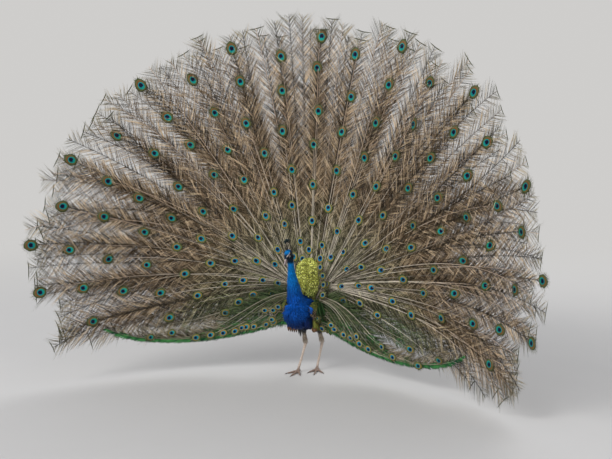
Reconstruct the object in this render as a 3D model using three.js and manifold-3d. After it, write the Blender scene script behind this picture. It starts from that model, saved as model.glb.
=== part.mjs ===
// A grown male Indian peafowl standing with its train raised, life size, in millimetres.
// Inside the bird group x runs to the bird's left, -y is ahead of it, z is up and the floor is z = 0,
// with the origin midway between its ankles. At the end the group is moved so that the origin is at the
// bottom of the whole bird, under the middle of its width and depth.

import * as THREE from 'three';
import { mergeVertices } from 'three/addons/utils/BufferGeometryUtils.js';
import Module from 'manifold-3d';

const wasm = await Module();
wasm.setup();

// ---------------------------------------------------------------- driving sizes

const GAP = 0.35; // air left between neighbouring pieces

const FAN = {
  root: { y: 10, z: 296 }, // where the train feathers come together at the rump
  turn: 1.5, // the whole fan is turned this far to the bird's left, degrees
  pitch: 9, // angle from one spoke of eyespots to the next, degrees
  spokes: 10, // spokes on each side of the middle one
  cup: 0.44e-3, // how fast the sides come forward, per mm
  leanBack: 0.018, // how fast the top goes back, mm per mm
  firstEye: 292, // distance from the root to row 0 of the eyespots
  rowPitch: 194, // distance between rows on one spoke
  tip: 1600, // reach of the fishtail feathers at the top
  tipLoss: 170, // how much shorter they are at the sides
  inner: 150, // where a spoke's solid starts at the top
  innerLoss: { left: 75, right: 34 }, // how much nearer the root it starts at the sides
  vane: 0.6, // thickness of the vanes
  shaft: 2.0, // thickness over the shafts
};

const SWORDS = {
  left: { base: 121, sweep: 25, reach: 930, power: 1.6, width: 100 },
  right: { base: 108, sweep: 15, reach: 1050, power: 2, width: 85 },
  ahead: 17, // the sword feathers lie this far in front of the spokes
};

const TAIL = { reach: 430, spread: 78, behind: 42, feathers: 20, start: 130 };

// The trunk points a little to the bird's right of the fan's own facing.
const BODY = { heading: -12, aside: -11 };

const HEAD = {
  back: new THREE.Vector3(-51, -180, 661), // the back of the skull
  bow: 48, // the bill points this far below level, degrees
  turn: 9, // and this far to the bird's right of straight ahead
  eyeAlong: 31,
  eyeUp: 3.5,
  eyeOut: 10.6,
  eyeRadius: 7,
  billStart: 44,
  billEnd: 84,
};

const LEGS = {
  left: { ankle: [37, 34, 15], hock: [58, 60, 146], knee: [50, 0, 262], toeTurn: 6 },
  right: { ankle: [-48, -26, 15], hock: [-20, 14, 148], knee: [-22, -26, 262], toeTurn: -8 },
  shank: 7.2, // half the width of the bare shank
};

const TOES = [
  { name: 'outer', turn: 36, length: 66 },
  { name: 'middle', turn: 0, length: 88 },
  { name: 'inner', turn: -32, length: 64 },
  { name: 'hind', turn: 172, length: 30 },
];
const CLAW = 15;

// ---------------------------------------------------------------- materials

const paint = (color, roughness = 0.8, metalness = 0) => ({ color, roughness, metalness });
const LOOKS = {
  blue: paint(0x0a63b4, 0.55),
  navy: paint(0x0b2f66, 0.6),
  gold: paint(0x8f9a3a, 0.55),
  barred: paint(0x9a8766, 0.8),
  chestnut: paint(0x7a4324, 0.8),
  buff: paint(0xb09a80, 0.9),
  bare: paint(0xc0a890, 0.6),
  horn: paint(0x5a4c42, 0.45),
  bill: paint(0xa29a8e, 0.45),
  eye: paint(0x1a100c, 0.1),
  crest: paint(0x103c50, 0.6),
  grey: paint(0x75695c, 0.85),
  train: paint(0x6d6a44, 0.8),
  trainEdge: paint(0x2c7a3c, 0.6),
};

const bird = new THREE.Group();

function addPiece(name, geometry, look) {
  geometry.computeVertexNormals();
  const piece = new THREE.Mesh(geometry, new THREE.MeshStandardMaterial(LOOKS[look]));
  piece.name = name;
  bird.add(piece);
  return piece;
}

// ---------------------------------------------------------------- solid building

const point = (x, y, z) => new THREE.Vector3(x, y, z);
const fromList = (list) => point(...list);
const radians = THREE.MathUtils.degToRad;

function closedMesh(positions, triangles) {
  const geometry = new THREE.BufferGeometry();
  geometry.setAttribute('position', new THREE.Float32BufferAttribute(positions, 3));
  geometry.setIndex(triangles);
  return geometry;
}

// Rings of equal count, right-handed about the way they advance, closed by a fan at each end.
function throughRings(rings) {
  const count = rings[0].length;
  const positions = rings.flat().flatMap((p) => p.toArray());
  const triangles = [];
  for (let i = 0; i + 1 < rings.length; i += 1) {
    for (let j = 0; j < count; j += 1) {
      const a = i * count + j;
      const b = i * count + ((j + 1) % count);
      triangles.push(a, b, b + count, a, b + count, a + count);
    }
  }
  [0, rings.length - 1].forEach((i) => {
    const centre = rings[i].reduce((sum, p) => sum.add(p), point(0, 0, 0)).divideScalar(count);
    const hub = positions.length / 3;
    positions.push(...centre.toArray());
    for (let j = 0; j < count; j += 1) {
      const here = i * count + j;
      const next = i * count + ((j + 1) % count);
      triangles.push(...(i === 0 ? [hub, next, here] : [hub, here, next]));
    }
  });
  return closedMesh(positions, triangles);
}

// A smooth body through stations of [x, y, z, half width, half height]. side points across the body,
// and grow makes the same body larger all round, for cutting a neighbour clear of it.
function loft(stations, { steps = 14, count = 16, side = point(1, 0, 0), grow = 0 } = {}) {
  const path = new THREE.CatmullRomCurve3(stations.map((s) => point(s[0], s[1], s[2])));
  const sizes = new THREE.CatmullRomCurve3(stations.map((s) => point(s[3], s[4], 0)));
  const rings = [];
  for (let i = 0; i <= steps; i += 1) {
    const t = i / steps;
    const along = path.getTangent(t);
    const across = side.clone().addScaledVector(along, -side.dot(along)).normalize();
    const up = along.clone().cross(across);
    const size = sizes.getPoint(t);
    const centre = path.getPoint(t);
    if (i === 0) centre.addScaledVector(along, -grow);
    if (i === steps) centre.addScaledVector(along, grow);
    rings.push(
      Array.from({ length: count }, (_, j) => {
        const angle = (2 * Math.PI * j) / count;
        return centre
          .clone()
          .addScaledVector(across, (size.x + grow) * Math.cos(angle))
          .addScaledVector(up, (size.y + grow) * Math.sin(angle));
      }),
    );
  }
  return throughRings(rings);
}

// A thin sheet: grid[column][row] holds { at, back, thick }, columns running to the right as seen from
// the front and rows outward. back is the unit direction to the rear.
function blade(grid) {
  const columns = grid.length;
  const rows = grid[0].length;
  const positions = [];
  [-1, 1].forEach((face) => {
    grid.flat().forEach(({ at, back, thick }) => {
      positions.push(...at.clone().addScaledVector(back, (face * thick) / 2).toArray());
    });
  });
  const front = (i, j) => i * rows + j;
  const rear = (i, j) => columns * rows + front(i, j);
  const triangles = [];
  for (let i = 0; i + 1 < columns; i += 1) {
    for (let j = 0; j + 1 < rows; j += 1) {
      // each cell is split along its shorter diagonal, so that a slanting cell never folds over
      const cell = [[i, j], [i + 1, j], [i + 1, j + 1], [i, j + 1]];
      const corner = cell.map(([c, r]) => grid[c][r].at);
      const turn = corner[0].distanceTo(corner[2]) > corner[1].distanceTo(corner[3]) ? 1 : 0;
      const order = [0, 1, 2, 3].map((n) => cell[(n + turn) % 4]);
      const face = order.map(([c, r]) => front(c, r));
      const wall = order.map(([c, r]) => rear(c, r));
      triangles.push(face[0], face[1], face[2], face[0], face[2], face[3]);
      triangles.push(wall[0], wall[2], wall[1], wall[0], wall[3], wall[2]);
    }
  }
  const rim = [];
  for (let i = 0; i + 1 < columns; i += 1) rim.push([i, 0]);
  for (let j = 0; j + 1 < rows; j += 1) rim.push([columns - 1, j]);
  for (let i = columns - 1; i > 0; i -= 1) rim.push([i, rows - 1]);
  for (let j = rows - 1; j > 0; j -= 1) rim.push([0, j]);
  rim.forEach(([i, j], n) => {
    const [k, l] = rim[(n + 1) % rim.length];
    triangles.push(front(i, j), rear(i, j), rear(k, l), front(i, j), rear(k, l), front(k, l));
  });
  return closedMesh(positions, triangles);
}

function solidOf(geometry) {
  const plain = geometry.clone();
  plain.deleteAttribute('normal');
  plain.deleteAttribute('uv');
  const merged = mergeVertices(plain, 1e-3);
  return new wasm.Manifold(
    new wasm.Mesh({
      numProp: 3,
      vertProperties: Float32Array.from(merged.attributes.position.array),
      triVerts: Uint32Array.from(merged.index.array),
    }),
  );
}

function geometryOf(solid) {
  const mesh = solid.getMesh();
  const geometry = closedMesh(Array.from(mesh.vertProperties), Array.from(mesh.triVerts));
  return mergeVertices(geometry, 1e-3);
}

const joined = (...parts) => geometryOf(parts.map(solidOf).reduce((sum, part) => sum.add(part)));

function cutBy(body, ...tools) {
  return geometryOf(tools.map(solidOf).reduce((left, tool) => left.subtract(tool), solidOf(body)));
}

// ---------------------------------------------------------------- trunk, neck and head

// Stations given along the trunk, turned to its own heading.
const bodyAxis = point(0, 0, 1);
const bodyTurn = radians(BODY.heading);
const bodySide = point(1, 0, 0).applyAxisAngle(bodyAxis, bodyTurn);
const onBody = ([x, y, z, ...sizes]) => {
  const place = point(x, y, z).applyAxisAngle(bodyAxis, bodyTurn);
  return [place.x + BODY.aside, place.y, place.z, ...sizes];
};

const trunk = (grow = 0) =>
  loft(
    [
      [0, -186, 338, 10, 12],
      [0, -172, 337, 42, 46],
      [0, -145, 335, 63, 70],
      [0, -100, 333, 75, 84],
      [0, -50, 334, 77, 86],
      [0, 10, 340, 68, 80],
      [0, 65, 348, 55, 68],
      [0, 110, 356, 42, 52],
      [0, 142, 362, 28, 34],
      [0, 158, 366, 12, 16],
    ].map(onBody),
    { steps: 12, count: 14, side: bodySide, grow },
  );

const neck = (grow = 0) =>
  loft(
    [
      [-26, -94, 350, 62, 58],
      [-35, -106, 392, 52, 51],
      [-40, -119, 432, 41.5, 43],
      [-42.5, -132, 476, 33, 35],
      [-47, -142, 526, 24.5, 27],
      [-50, -148, 570, 18.5, 21.5],
      [-51, -154, 606, 17, 19.5],
      [-51, -165, 635, 17, 19],
      [-49, -178, 654, 14, 15.5],
      [-48, -185, 660, 6, 7],
    ],
    { steps: 12, count: 12, grow },
  );

const bow = radians(HEAD.bow);
const turn = radians(HEAD.turn);
const ahead = point(-Math.sin(turn) * Math.cos(bow), -Math.cos(turn) * Math.cos(bow), -Math.sin(bow));
const outward = point(Math.cos(turn), -Math.sin(turn), 0); // towards the bird's left
const crown = outward.clone().cross(ahead).negate(); // up through the top of the skull
const onHead = (along, up, out = 0) =>
  HEAD.back
    .clone()
    .addScaledVector(ahead, along)
    .addScaledVector(crown, up)
    .addScaledVector(outward, out);

// Stations along the skull: distance from its back, height, half width, half height.
const skullStation = ([along, up, wide, high]) => [...onHead(along, up).toArray(), wide, high];
const skull = (grow = 0) =>
  loft(
    [
      [-7, 0, 5, 6],
      [-2, 0, 12, 13],
      [8, 1, 17.5, 19],
      [20, 2, 19, 21.5],
      [32, 1, 17, 20],
      [42, -1, 13, 15],
      [50, -3, 9, 10],
      [55, -4, 6, 6.5],
    ].map(skullStation),
    { steps: 9, count: 12, side: outward, grow },
  );

const eyeAt = (side) => onHead(HEAD.eyeAlong, HEAD.eyeUp, side * HEAD.eyeOut);

function ball(centre, radius) {
  const geometry = new THREE.SphereGeometry(radius, 10, 7);
  geometry.translate(...centre.toArray());
  return geometry;
}

function upperBill() {
  const stations = [
    [HEAD.billStart, 0, 7.6, 7.8],
    [52, -0.4, 7, 7],
    [62, -1.4, 5.8, 5.8],
    [72, -3, 4.4, 4.6],
    [81, -5.4, 2.8, 3.4],
    [HEAD.billEnd, -9, 0.9, 1.6],
  ].map(skullStation);
  return loft(stations, { steps: 7, count: 10, side: outward });
}

function lowerBill() {
  const stations = [
    [HEAD.billStart, -9.5, 6.2, 4.2],
    [56, -9.3, 5.2, 3.8],
    [68, -9, 4, 3],
    [79, -9.3, 1.6, 1.6],
  ].map(skullStation);
  return loft(stations, { steps: 5, count: 10, side: outward });
}

// The crest is a fan of bare shafts with small flags, standing in the plane from bill to nape.
function crest() {
  const feathers = 12;
  const spread = radians(62);
  const length = 64;
  const flag = 2.8;
  const outline = new THREE.Shape();
  outline.moveTo(-4, -8);
  for (let i = 0; i < feathers; i += 1) {
    const angle = (i / (feathers - 1) - 0.5) * spread;
    const reach = length * (1 - 0.12 * Math.abs(i / (feathers - 1) - 0.5));
    const tip = new THREE.Vector2(Math.sin(angle) * reach, Math.cos(angle) * reach);
    const low = tip.clone().multiplyScalar(0.72);
    const wide = new THREE.Vector2(Math.cos(angle), -Math.sin(angle)).multiplyScalar(flag);
    outline.lineTo(low.x - wide.x * 0.62, low.y - wide.y * 0.62);
    outline.lineTo(tip.x * 0.93 - wide.x, tip.y * 0.93 - wide.y);
    outline.lineTo(tip.x, tip.y);
    outline.lineTo(tip.x * 0.93 + wide.x * 0.7, tip.y * 0.93 + wide.y * 0.7);
  }
  outline.lineTo(4, -8);
  const thick = 2.4;
  const geometry = new THREE.ExtrudeGeometry(outline, { depth: thick, bevelEnabled: false });
  geometry.translate(0, 0, -thick / 2);
  const lean = radians(34);
  const stem = crown.clone().multiplyScalar(Math.cos(lean)).addScaledVector(ahead, -Math.sin(lean));
  const fore = outward.clone().cross(stem).negate();
  const axes = new THREE.Matrix4().makeBasis(fore, stem, fore.clone().cross(stem));
  axes.setPosition(onHead(11, 14));
  geometry.applyMatrix4(axes);
  return geometry;
}

function addHead() {
  const eyes = { left: eyeAt(1), right: eyeAt(-1) };
  const sockets = Object.values(eyes).map((at) => ball(at, HEAD.eyeRadius + GAP));
  addPiece('head', cutBy(skull(), neck(GAP), ...sockets), 'blue');
  addPiece('upper_bill', cutBy(upperBill(), skull(GAP)), 'bill');
  addPiece('lower_bill', cutBy(lowerBill(), skull(GAP), upperBill()), 'bill');
  Object.entries(eyes).forEach(([side, at]) => {
    addPiece(`${side}_eye`, ball(at, HEAD.eyeRadius), 'eye');
  });
  addPiece('crest', cutBy(crest(), skull(GAP), neck(GAP)), 'crest');
}

// ---------------------------------------------------------------- wings

const WING = [
  [66, -112, 362, 5, 14],
  [72, -94, 356, 10, 36],
  [73, -48, 346, 12, 52],
  [70, 10, 336, 12, 55],
  [62, 70, 322, 11, 48],
  [52, 125, 304, 8, 34],
  [42, 170, 284, 6, 16],
  [37, 188, 274, 3, 5],
];
const mirrored = (stations, side) => stations.map(([x, ...rest]) => [x * side, ...rest]);
const wing = (side, grow = 0) =>
  loft(mirrored(WING, side).map(onBody), { steps: 9, count: 10, side: bodySide, grow });

// The chestnut flight feathers hang below and behind the folded wing, their tips drawn inward.
function primaries(side) {
  const quills = 7;
  const columns = Array.from({ length: 2 * quills + 1 }, (_, i) => {
    const along = i / (2 * quills);
    const top = point(side * (71 - 22 * along * along), -56 + 176 * along, 304 - 4 * along);
    const drop = 74 + 26 * Math.sin(Math.PI * along) + (i % 2 ? 8 : 0);
    const inward = 22 + 22 * along;
    return Array.from({ length: 3 }, (_unused, j) => {
      const t = j / 2;
      const at = top
        .clone()
        .add(point(-side * inward * t * t, (14 + 44 * along) * t, -drop * t));
      const place = fromList(onBody(at.toArray()));
      return { at: place, back: bodySide.clone().multiplyScalar(-side), thick: 3.2 - 1.6 * t };
    });
  });
  return blade(side > 0 ? columns.reverse() : columns);
}

// Soft feathers under the tail fill the space between the rump and the tail.
const undertail = (grow = 0) =>
  loft(
    [
      [0, 98, 306, 16, 14],
      [0, 120, 304, 38, 36],
      [0, 148, 306, 50, 46],
      [0, 182, 322, 44, 42],
      [0, 206, 340, 28, 28],
      [0, 220, 352, 10, 11],
    ].map(onBody),
    { steps: 5, count: 10, side: bodySide, grow },
  );

function addWings() {
  [['left', 1], ['right', -1]].forEach(([name, side]) => {
    addPiece(`${name}_wing`, cutBy(wing(side), trunk(GAP), neck(GAP)), 'barred');
    const folded = [trunk(GAP), wing(side, GAP), thigh(LEGS[name], GAP), undertail(GAP)];
    addPiece(`${name}_primaries`, cutBy(primaries(side), ...folded), 'chestnut');
  });
}

// ---------------------------------------------------------------- legs and feet

function thigh({ hock, knee }, grow = 0) {
  const low = fromList(hock);
  const high = fromList(knee);
  const part = (t) => low.clone().lerp(high, t).toArray();
  return loft(
    [
      [...part(0.02), 9, 10],
      [...part(0.2), 10.5, 12],
      [...part(0.5), 12.5, 17],
      [...part(0.8), 18, 29],
      [...part(1.1), 27, 40],
      [...part(1.35), 22, 30],
    ],
    { steps: 7, count: 12, grow },
  );
}

function shank({ ankle, hock }, grow = 0) {
  const low = fromList(ankle);
  const high = fromList(hock);
  const part = (t) => low.clone().lerp(high, t).toArray();
  const wide = LEGS.shank;
  return loft(
    [
      [...part(0.04), wide * 0.98, wide * 1.05],
      [...part(0.14), wide * 0.92, wide],
      [...part(0.45), wide * 0.84, wide],
      [...part(0.8), wide * 0.95, wide * 1.15],
      [...part(0.98), wide * 1.28, wide * 1.5],
      [...part(1.08), wide * 0.8, wide * 0.9],
    ],
    { steps: 7, count: 10, grow },
  );
}

// The spur grows back and inward from the lower third of the shank.
function spur({ ankle, hock }) {
  const root = fromList(ankle).lerp(fromList(hock), 0.34);
  const inward = -Math.sign(ankle[0]);
  const tip = root.clone().add(point(7 * inward, 26, 3));
  return loft(
    [
      [...root.toArray(), 4.6, 5],
      [...root.clone().lerp(tip, 0.5).toArray(), 3.4, 3.8],
      [...tip.toArray(), 0.6, 0.7],
    ],
    { steps: 4, count: 8 },
  );
}

// A toe lies flat on the floor: its rings are round above and cut level below.
function toeRings(root, heading, profile, grow = 0) {
  const along = point(Math.sin(heading), -Math.cos(heading), 0);
  const across = point(Math.cos(heading), Math.sin(heading), 0);
  const count = 8;
  return profile.map(([distance, half, top, floor]) => {
    const low = Math.max(floor - grow, 0);
    const middle = (top + low) / 2;
    return Array.from({ length: count }, (_, j) => {
      const angle = (2 * Math.PI * (j + 0.5)) / count;
      const height = middle + ((top + grow - low) / 2) * Math.sin(angle) * 1.1;
      return root
        .clone()
        .addScaledVector(along, distance)
        .addScaledVector(across, (half + grow) * Math.cos(angle))
        .setZ(THREE.MathUtils.clamp(height, low, top + grow));
    });
  });
}

const toeHeading = (leg, toe) => radians(leg.toeTurn + toe.turn * Math.sign(leg.ankle[0]));

function toeSolid(leg, toe, grow = 0) {
  const root = fromList(leg.ankle).setZ(0);
  const l = toe.length;
  const profile = [
    [-4, 7, 15, 0],
    [l * 0.45, 6.2, 11.5, 0],
    [l * 0.62, 5, 9.6, 0],
    [l * 0.8, 5.2, 9.2, 0],
    [l, 3.4, 7, 0.6],
  ];
  return throughRings(toeRings(root, toeHeading(leg, toe), profile, grow));
}

function claw(leg, toe) {
  const heading = toeHeading(leg, toe);
  const start = fromList(leg.ankle)
    .setZ(0)
    .add(point(Math.sin(heading), -Math.cos(heading), 0).multiplyScalar(toe.length - 3));
  const profile = [
    [0, 2.6, 6.6, 1],
    [CLAW * 0.75, 1.5, 4.2, 0.4],
    [CLAW + 3, 0.5, 1.4, 0.3],
  ];
  return throughRings(toeRings(start, heading, profile));
}

function addLegs() {
  ['left', 'right'].forEach((name) => {
    const leg = LEGS[name];
    addPiece(`${name}_thigh`, cutBy(thigh(leg), trunk(GAP), wing(Math.sign(leg.ankle[0]), GAP)), 'buff');
    const bare = joined(shank(leg), spur(leg));
    addPiece(`${name}_shank`, cutBy(bare, thigh(leg, GAP)), 'bare');
    const pad = ball(fromList(leg.ankle).setZ(11), 10.5);
    const toes = TOES.map((toe) => toeSolid(leg, toe));
    addPiece(`${name}_foot`, cutBy(joined(pad, ...toes), shank(leg, GAP)), 'bare');
    TOES.forEach((toe) => {
      addPiece(`${name}_${toe.name}_claw`, cutBy(claw(leg, toe), toeSolid(leg, toe, GAP)), 'horn');
    });
  });
}

// ---------------------------------------------------------------- train and tail

// A place on the fan: angle from straight up towards the bird's left, reach along the feather.
function onFan(angleDegrees, reach) {
  const angle = radians(angleDegrees);
  const across = reach * Math.sin(angle);
  const high = reach * Math.cos(angle);
  const deep = FAN.leanBack * high - FAN.cup * across * across;
  const shorter = Math.hypot(1, deep / reach);
  return point(across / shorter, FAN.root.y + deep / shorter, FAN.root.z + high / shorter);
}

// The unit direction out of the back of the fan at the same place.
function fanBack(angle, reach) {
  const outwards = onFan(angle, reach + 5).sub(onFan(angle, reach - 5));
  const sideways = onFan(angle + 0.5, reach).sub(onFan(angle - 0.5, reach));
  return outwards.cross(sideways).normalize();
}

// Spokes near the floor sag, most of all on the bird's left.
function spokeAngle(spoke, reach) {
  const low = Math.max(0, Math.abs(spoke) - 7.4) / 2.6;
  const sag = (spoke > 0 ? 3.2 : 1.5) * low * low;
  return FAN.turn + FAN.pitch * spoke + Math.sign(spoke) * sag * (reach / 1200) ** 2;
}

const fishtailReach = (angle) => FAN.tip - FAN.tipLoss * (Math.abs(angle) / 90) ** 3;

function lastEye(spoke) {
  if (Math.abs(spoke) === FAN.spokes) return FAN.firstEye + 4.7 * FAN.rowPitch;
  return FAN.firstEye + (spoke % 2 ? 5.5 : 6) * FAN.rowPitch;
}

// The spokes start just clear of the back and the folded wings.
function spokeStart(angle) {
  const sideways = Math.sin(radians(angle));
  return sideways > 0
    ? FAN.inner - FAN.innerLoss.left * sideways ** 2
    : FAN.inner - FAN.innerLoss.right * sideways ** 4;
}

// How far out the fan is closed between one spoke and the next.
const closedTo = (spoke) => Math.min(lastEye(spoke), lastEye(spoke + 1)) - 98;

// One spoke is a blade from the body out to an eyespot and, beside it, a fishtail.
function spokeBlade(spoke) {
  const rows = 5;
  const eye = lastEye(spoke) + 52;
  const notch = eye - 150;
  const fishtail = Math.max(fishtailReach(spokeAngle(spoke + 0.5, 1400)), eye);
  const outline = [
    [-0.3, closedTo(spoke - 1), 0],
    [-0.14, eye - 34, 0],
    [0, eye, 1],
    [0.14, eye - 34, 0],
    [0.3, notch, 0],
    [0.5, fishtail, 1],
    [0.7, closedTo(spoke), 0],
  ];
  const grid = outline.map(([offset, end, shaft], i) =>
    Array.from({ length: rows + 1 }, (_, j) => {
      const start = spokeStart(FAN.turn + FAN.pitch * (spoke + offset));
      const reach = start + (end - start) * (j / rows);
      const edge = i === 0 ? 1 : i === outline.length - 1 ? -1 : 0;
      const air = THREE.MathUtils.radToDeg((edge * GAP) / 2 / reach);
      const angle = spokeAngle(spoke + offset, reach) + air;
      const thick = FAN.vane + shaft * (FAN.shaft - FAN.vane) * (1 - 0.8 * (j / rows));
      return { at: onFan(angle, reach), back: fanBack(angle, reach), thick };
    }),
  );
  return blade(grid);
}

// The sword feathers close the fan below: their green outer webs make its lower edge.
function swordBlade(side, sword) {
  const rows = 7;
  const columns = [[0, 0.86], [0.25, 0.74], [0.5, 0.93], [0.75, 0.8], [1, 1]];
  const grid = columns.map(([part, end]) =>
    Array.from({ length: rows + 1 }, (_, j) => {
      const start = side > 0 ? 100 : 128;
      const reach = start + (sword.reach * end - start) * (j / rows);
      const share = reach / sword.reach;
      const edge = sword.base - sword.sweep * share ** sword.power;
      const width = 12 + sword.width * Math.sin(Math.PI * Math.min(share ** 0.8, 1));
      const angle = side * (edge - THREE.MathUtils.radToDeg(width / reach) * (1 - part));
      const back = fanBack(angle, reach);
      const at = onFan(angle, reach).addScaledVector(back, -SWORDS.ahead);
      return { at, back, thick: FAN.vane + 0.6 * (part === 1 || part === 0.5) };
    }),
  );
  return blade(side > 0 ? grid : grid.reverse());
}

// The stiff tail feathers stand behind the train and prop it up.
function tailBlade() {
  const rows = 1;
  const columns = 2 * TAIL.feathers;
  const grid = Array.from({ length: columns + 1 }, (_, i) => {
    const angle = FAN.turn + TAIL.spread * ((2 * i) / columns - 1);
    const end = TAIL.reach - 40 * (angle / 90) ** 2 - (i % 2 ? 0 : 26);
    return Array.from({ length: rows + 1 }, (_unused, j) => {
      const reach = TAIL.start + (end - TAIL.start) * (j / rows);
      const back = fanBack(angle, reach);
      const at = onFan(angle, reach).addScaledVector(back, TAIL.behind * (1 - 0.45 * (j / rows)));
      return { at, back, thick: i % 2 ? 2.2 : 1.2 };
    });
  });
  return blade(grid);
}

// Gold-green scales cover the back and the roots of the train: an upright drop, wide above.
function shield() {
  const stations = [
    [0, 396, 40, 40],
    [0, 430, 56, 33],
    [0, 470, 66, 26],
    [0, 515, 73, 20],
    [0, 555, 68, 14],
    [0, 585, 46, 8],
    [0, 600, 18, 3],
  ].map(([x, z, wide, deep]) => {
    const front = onFan(0, z - FAN.root.z).y - FAN.shaft / 2 - GAP - 1;
    return [x, front - deep, z, wide, deep];
  });
  return loft(stations, { steps: 6, count: 12 });
}

function addTrain() {
  const places = Array.from({ length: 2 * FAN.spokes + 1 }, (_, i) => i - FAN.spokes);
  places.forEach((spoke) => {
    const side = spoke > 0 ? 'left_' : 'right_';
    const label = spoke === 0 ? 'middle' : side + String(Math.abs(spoke)).padStart(2, '0');
    addPiece(`train_${label}`, spokeBlade(spoke), 'train');
  });
  addPiece('left_sword_feathers', swordBlade(1, SWORDS.left), 'trainEdge');
  addPiece('right_sword_feathers', swordBlade(-1, SWORDS.right), 'trainEdge');
  const inFront = [trunk(GAP), undertail(GAP), wing(1, GAP), wing(-1, GAP)];
  addPiece('tail_feathers', cutBy(tailBlade(), ...inFront), 'grey');
  addPiece('back_shield', cutBy(shield(), trunk(GAP), neck(GAP)), 'gold');
  addPiece('undertail', cutBy(undertail(), trunk(GAP), wing(1, GAP), wing(-1, GAP)), 'grey');
}

// ---------------------------------------------------------------- the whole bird

addPiece('trunk', trunk(), 'navy');
addPiece('neck', cutBy(neck(), trunk(GAP)), 'blue');
addHead();
addLegs();
addWings();
addTrain();

const box = new THREE.Box3().setFromObject(bird);
const middle = box.getCenter(point(0, 0, 0));
bird.position.set(-middle.x, -middle.y, -box.min.z);
bird.updateMatrixWorld(true);

export default bird;
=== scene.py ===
# %% [markdown]
# # A peacock in display
#
# A life-size Indian peacock, train raised. The solids of the bird are already made and stay as they are:
# here they get their looks. Flesh is covered by one skin, and everything on the skin is a feather of mesh.
#
# All lengths are metres. +Z is up, the bird faces -Y and its left side is +X.

# %% Load the solids
import math

import bpy
import numpy as np
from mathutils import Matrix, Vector


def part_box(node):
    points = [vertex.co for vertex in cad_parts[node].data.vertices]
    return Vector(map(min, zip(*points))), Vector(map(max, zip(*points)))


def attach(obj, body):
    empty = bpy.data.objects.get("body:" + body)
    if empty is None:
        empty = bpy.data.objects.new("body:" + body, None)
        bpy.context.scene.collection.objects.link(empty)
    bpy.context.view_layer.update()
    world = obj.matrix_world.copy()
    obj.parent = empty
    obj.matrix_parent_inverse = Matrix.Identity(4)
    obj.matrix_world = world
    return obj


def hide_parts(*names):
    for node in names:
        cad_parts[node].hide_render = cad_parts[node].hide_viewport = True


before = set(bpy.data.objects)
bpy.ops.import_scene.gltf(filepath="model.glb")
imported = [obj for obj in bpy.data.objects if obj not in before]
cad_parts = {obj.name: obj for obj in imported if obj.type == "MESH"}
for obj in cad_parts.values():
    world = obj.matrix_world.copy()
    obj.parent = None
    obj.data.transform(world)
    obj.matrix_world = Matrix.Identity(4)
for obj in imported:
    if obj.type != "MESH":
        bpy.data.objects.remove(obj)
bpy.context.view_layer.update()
rng = np.random.default_rng(41)
print("solids", len(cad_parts))

# %% [markdown]
# ## Where the bird stands
#
# Feathers have to grow from named places such as the brow, but the solids are drawn about a point on the
# floor midway between the ankles and then moved, so that the whole bird is centred. Each place could be
# measured anew from the solids. It is simpler to repeat the plan's own numbers and read the one shift
# between the two from the eyes, which are small and have a known place on the head.

# %% The head's own directions
def unit(vectors):
    length = np.linalg.norm(vectors, axis=-1, keepdims=True)
    return vectors / np.maximum(length, 1e-12)


SIDES = (("left", 1), ("right", -1))
BOW = math.radians(48)
HEAD_TURN = math.radians(9)
HEAD_BACK = np.array([-0.051, -0.180, 0.661])
AHEAD = np.array([-math.sin(HEAD_TURN) * math.cos(BOW), -math.cos(HEAD_TURN) * math.cos(BOW), -math.sin(BOW)])
LEFTWARD = np.array([math.cos(HEAD_TURN), -math.sin(HEAD_TURN), 0.0])
CROWN = -np.cross(LEFTWARD, AHEAD)
EYE_ALONG, EYE_UP, EYE_RADIUS = 0.031, 0.0035, 0.007


def middle(node):
    low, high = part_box(node)
    return (np.array(low) + np.array(high)) / 2


eye_middle = (middle("left_eye") + middle("right_eye")) / 2
SHIFT = eye_middle - (HEAD_BACK + AHEAD * EYE_ALONG + CROWN * EYE_UP)
SHIFT[2] = 0.0
print("shift", SHIFT.round(4))


def on_head(along, up, out=0.0):
    spread = [np.multiply.outer(np.asarray(v, float), axis) for v, axis in
              ((along, AHEAD), (up, CROWN), (out, LEFTWARD))]
    return HEAD_BACK + SHIFT + spread[0] + spread[1] + spread[2]


def head_places(points):
    """How far each point is along the head, up from its middle line and out to its left."""
    away = points - (HEAD_BACK + SHIFT)
    return away @ AHEAD, away @ CROWN, away @ LEFTWARD

# %% [markdown]
# ## The fan's surface
#
# The raised train is a shallow dish: it leans back a little and its sides curve forward. It could be a
# sculpted surface that feathers are dropped on. A formula is surer: a feather is laid out by an angle from
# straight up, in degrees, and a reach from the root of the train, in metres, and one function carries both
# to a place.

# %% The fan as a function
FAN_Y, FAN_Z = 0.010, 0.296  # root of the train
TURN, SPOKE = 1.5, 9.0  # degrees that the fan leans aside, and between two spokes
CUP, LEAN = 0.44, 0.018  # how far its sides curve forward and its top leans back
FIRST_EYE, ROW = 0.292, 0.194  # reach of the lowest eyes, and from one row to the next
TRAIN_REACH = 1.6  # of the longest feather


def on_fan(angle, reach):
    angle = np.radians(angle)
    across = reach * np.sin(angle)
    high = reach * np.cos(angle)
    deep = LEAN * high - CUP * across**2
    shorter = np.hypot(1, deep / reach)
    flat = np.stack([across / shorter, FAN_Y + deep / shorter, FAN_Z + high / shorter], -1)
    return flat + SHIFT


def fan_back(angle, reach):
    outwards = on_fan(angle, reach + 0.004) - on_fan(angle, reach - 0.004)
    sideways = on_fan(angle + 0.4, reach) - on_fan(angle - 0.4, reach)
    return unit(np.cross(outwards, sideways))


def spoke_angle(spoke, reach):
    """Spokes near the floor sag, most of all on the bird's left."""
    low = np.maximum(0, np.abs(spoke) - 7.4) / 2.6
    sag = np.where(spoke > 0, 3.2, 1.5) * low**2
    return TURN + SPOKE * spoke + np.sign(spoke) * sag * (reach / 1.2) ** 2


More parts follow.
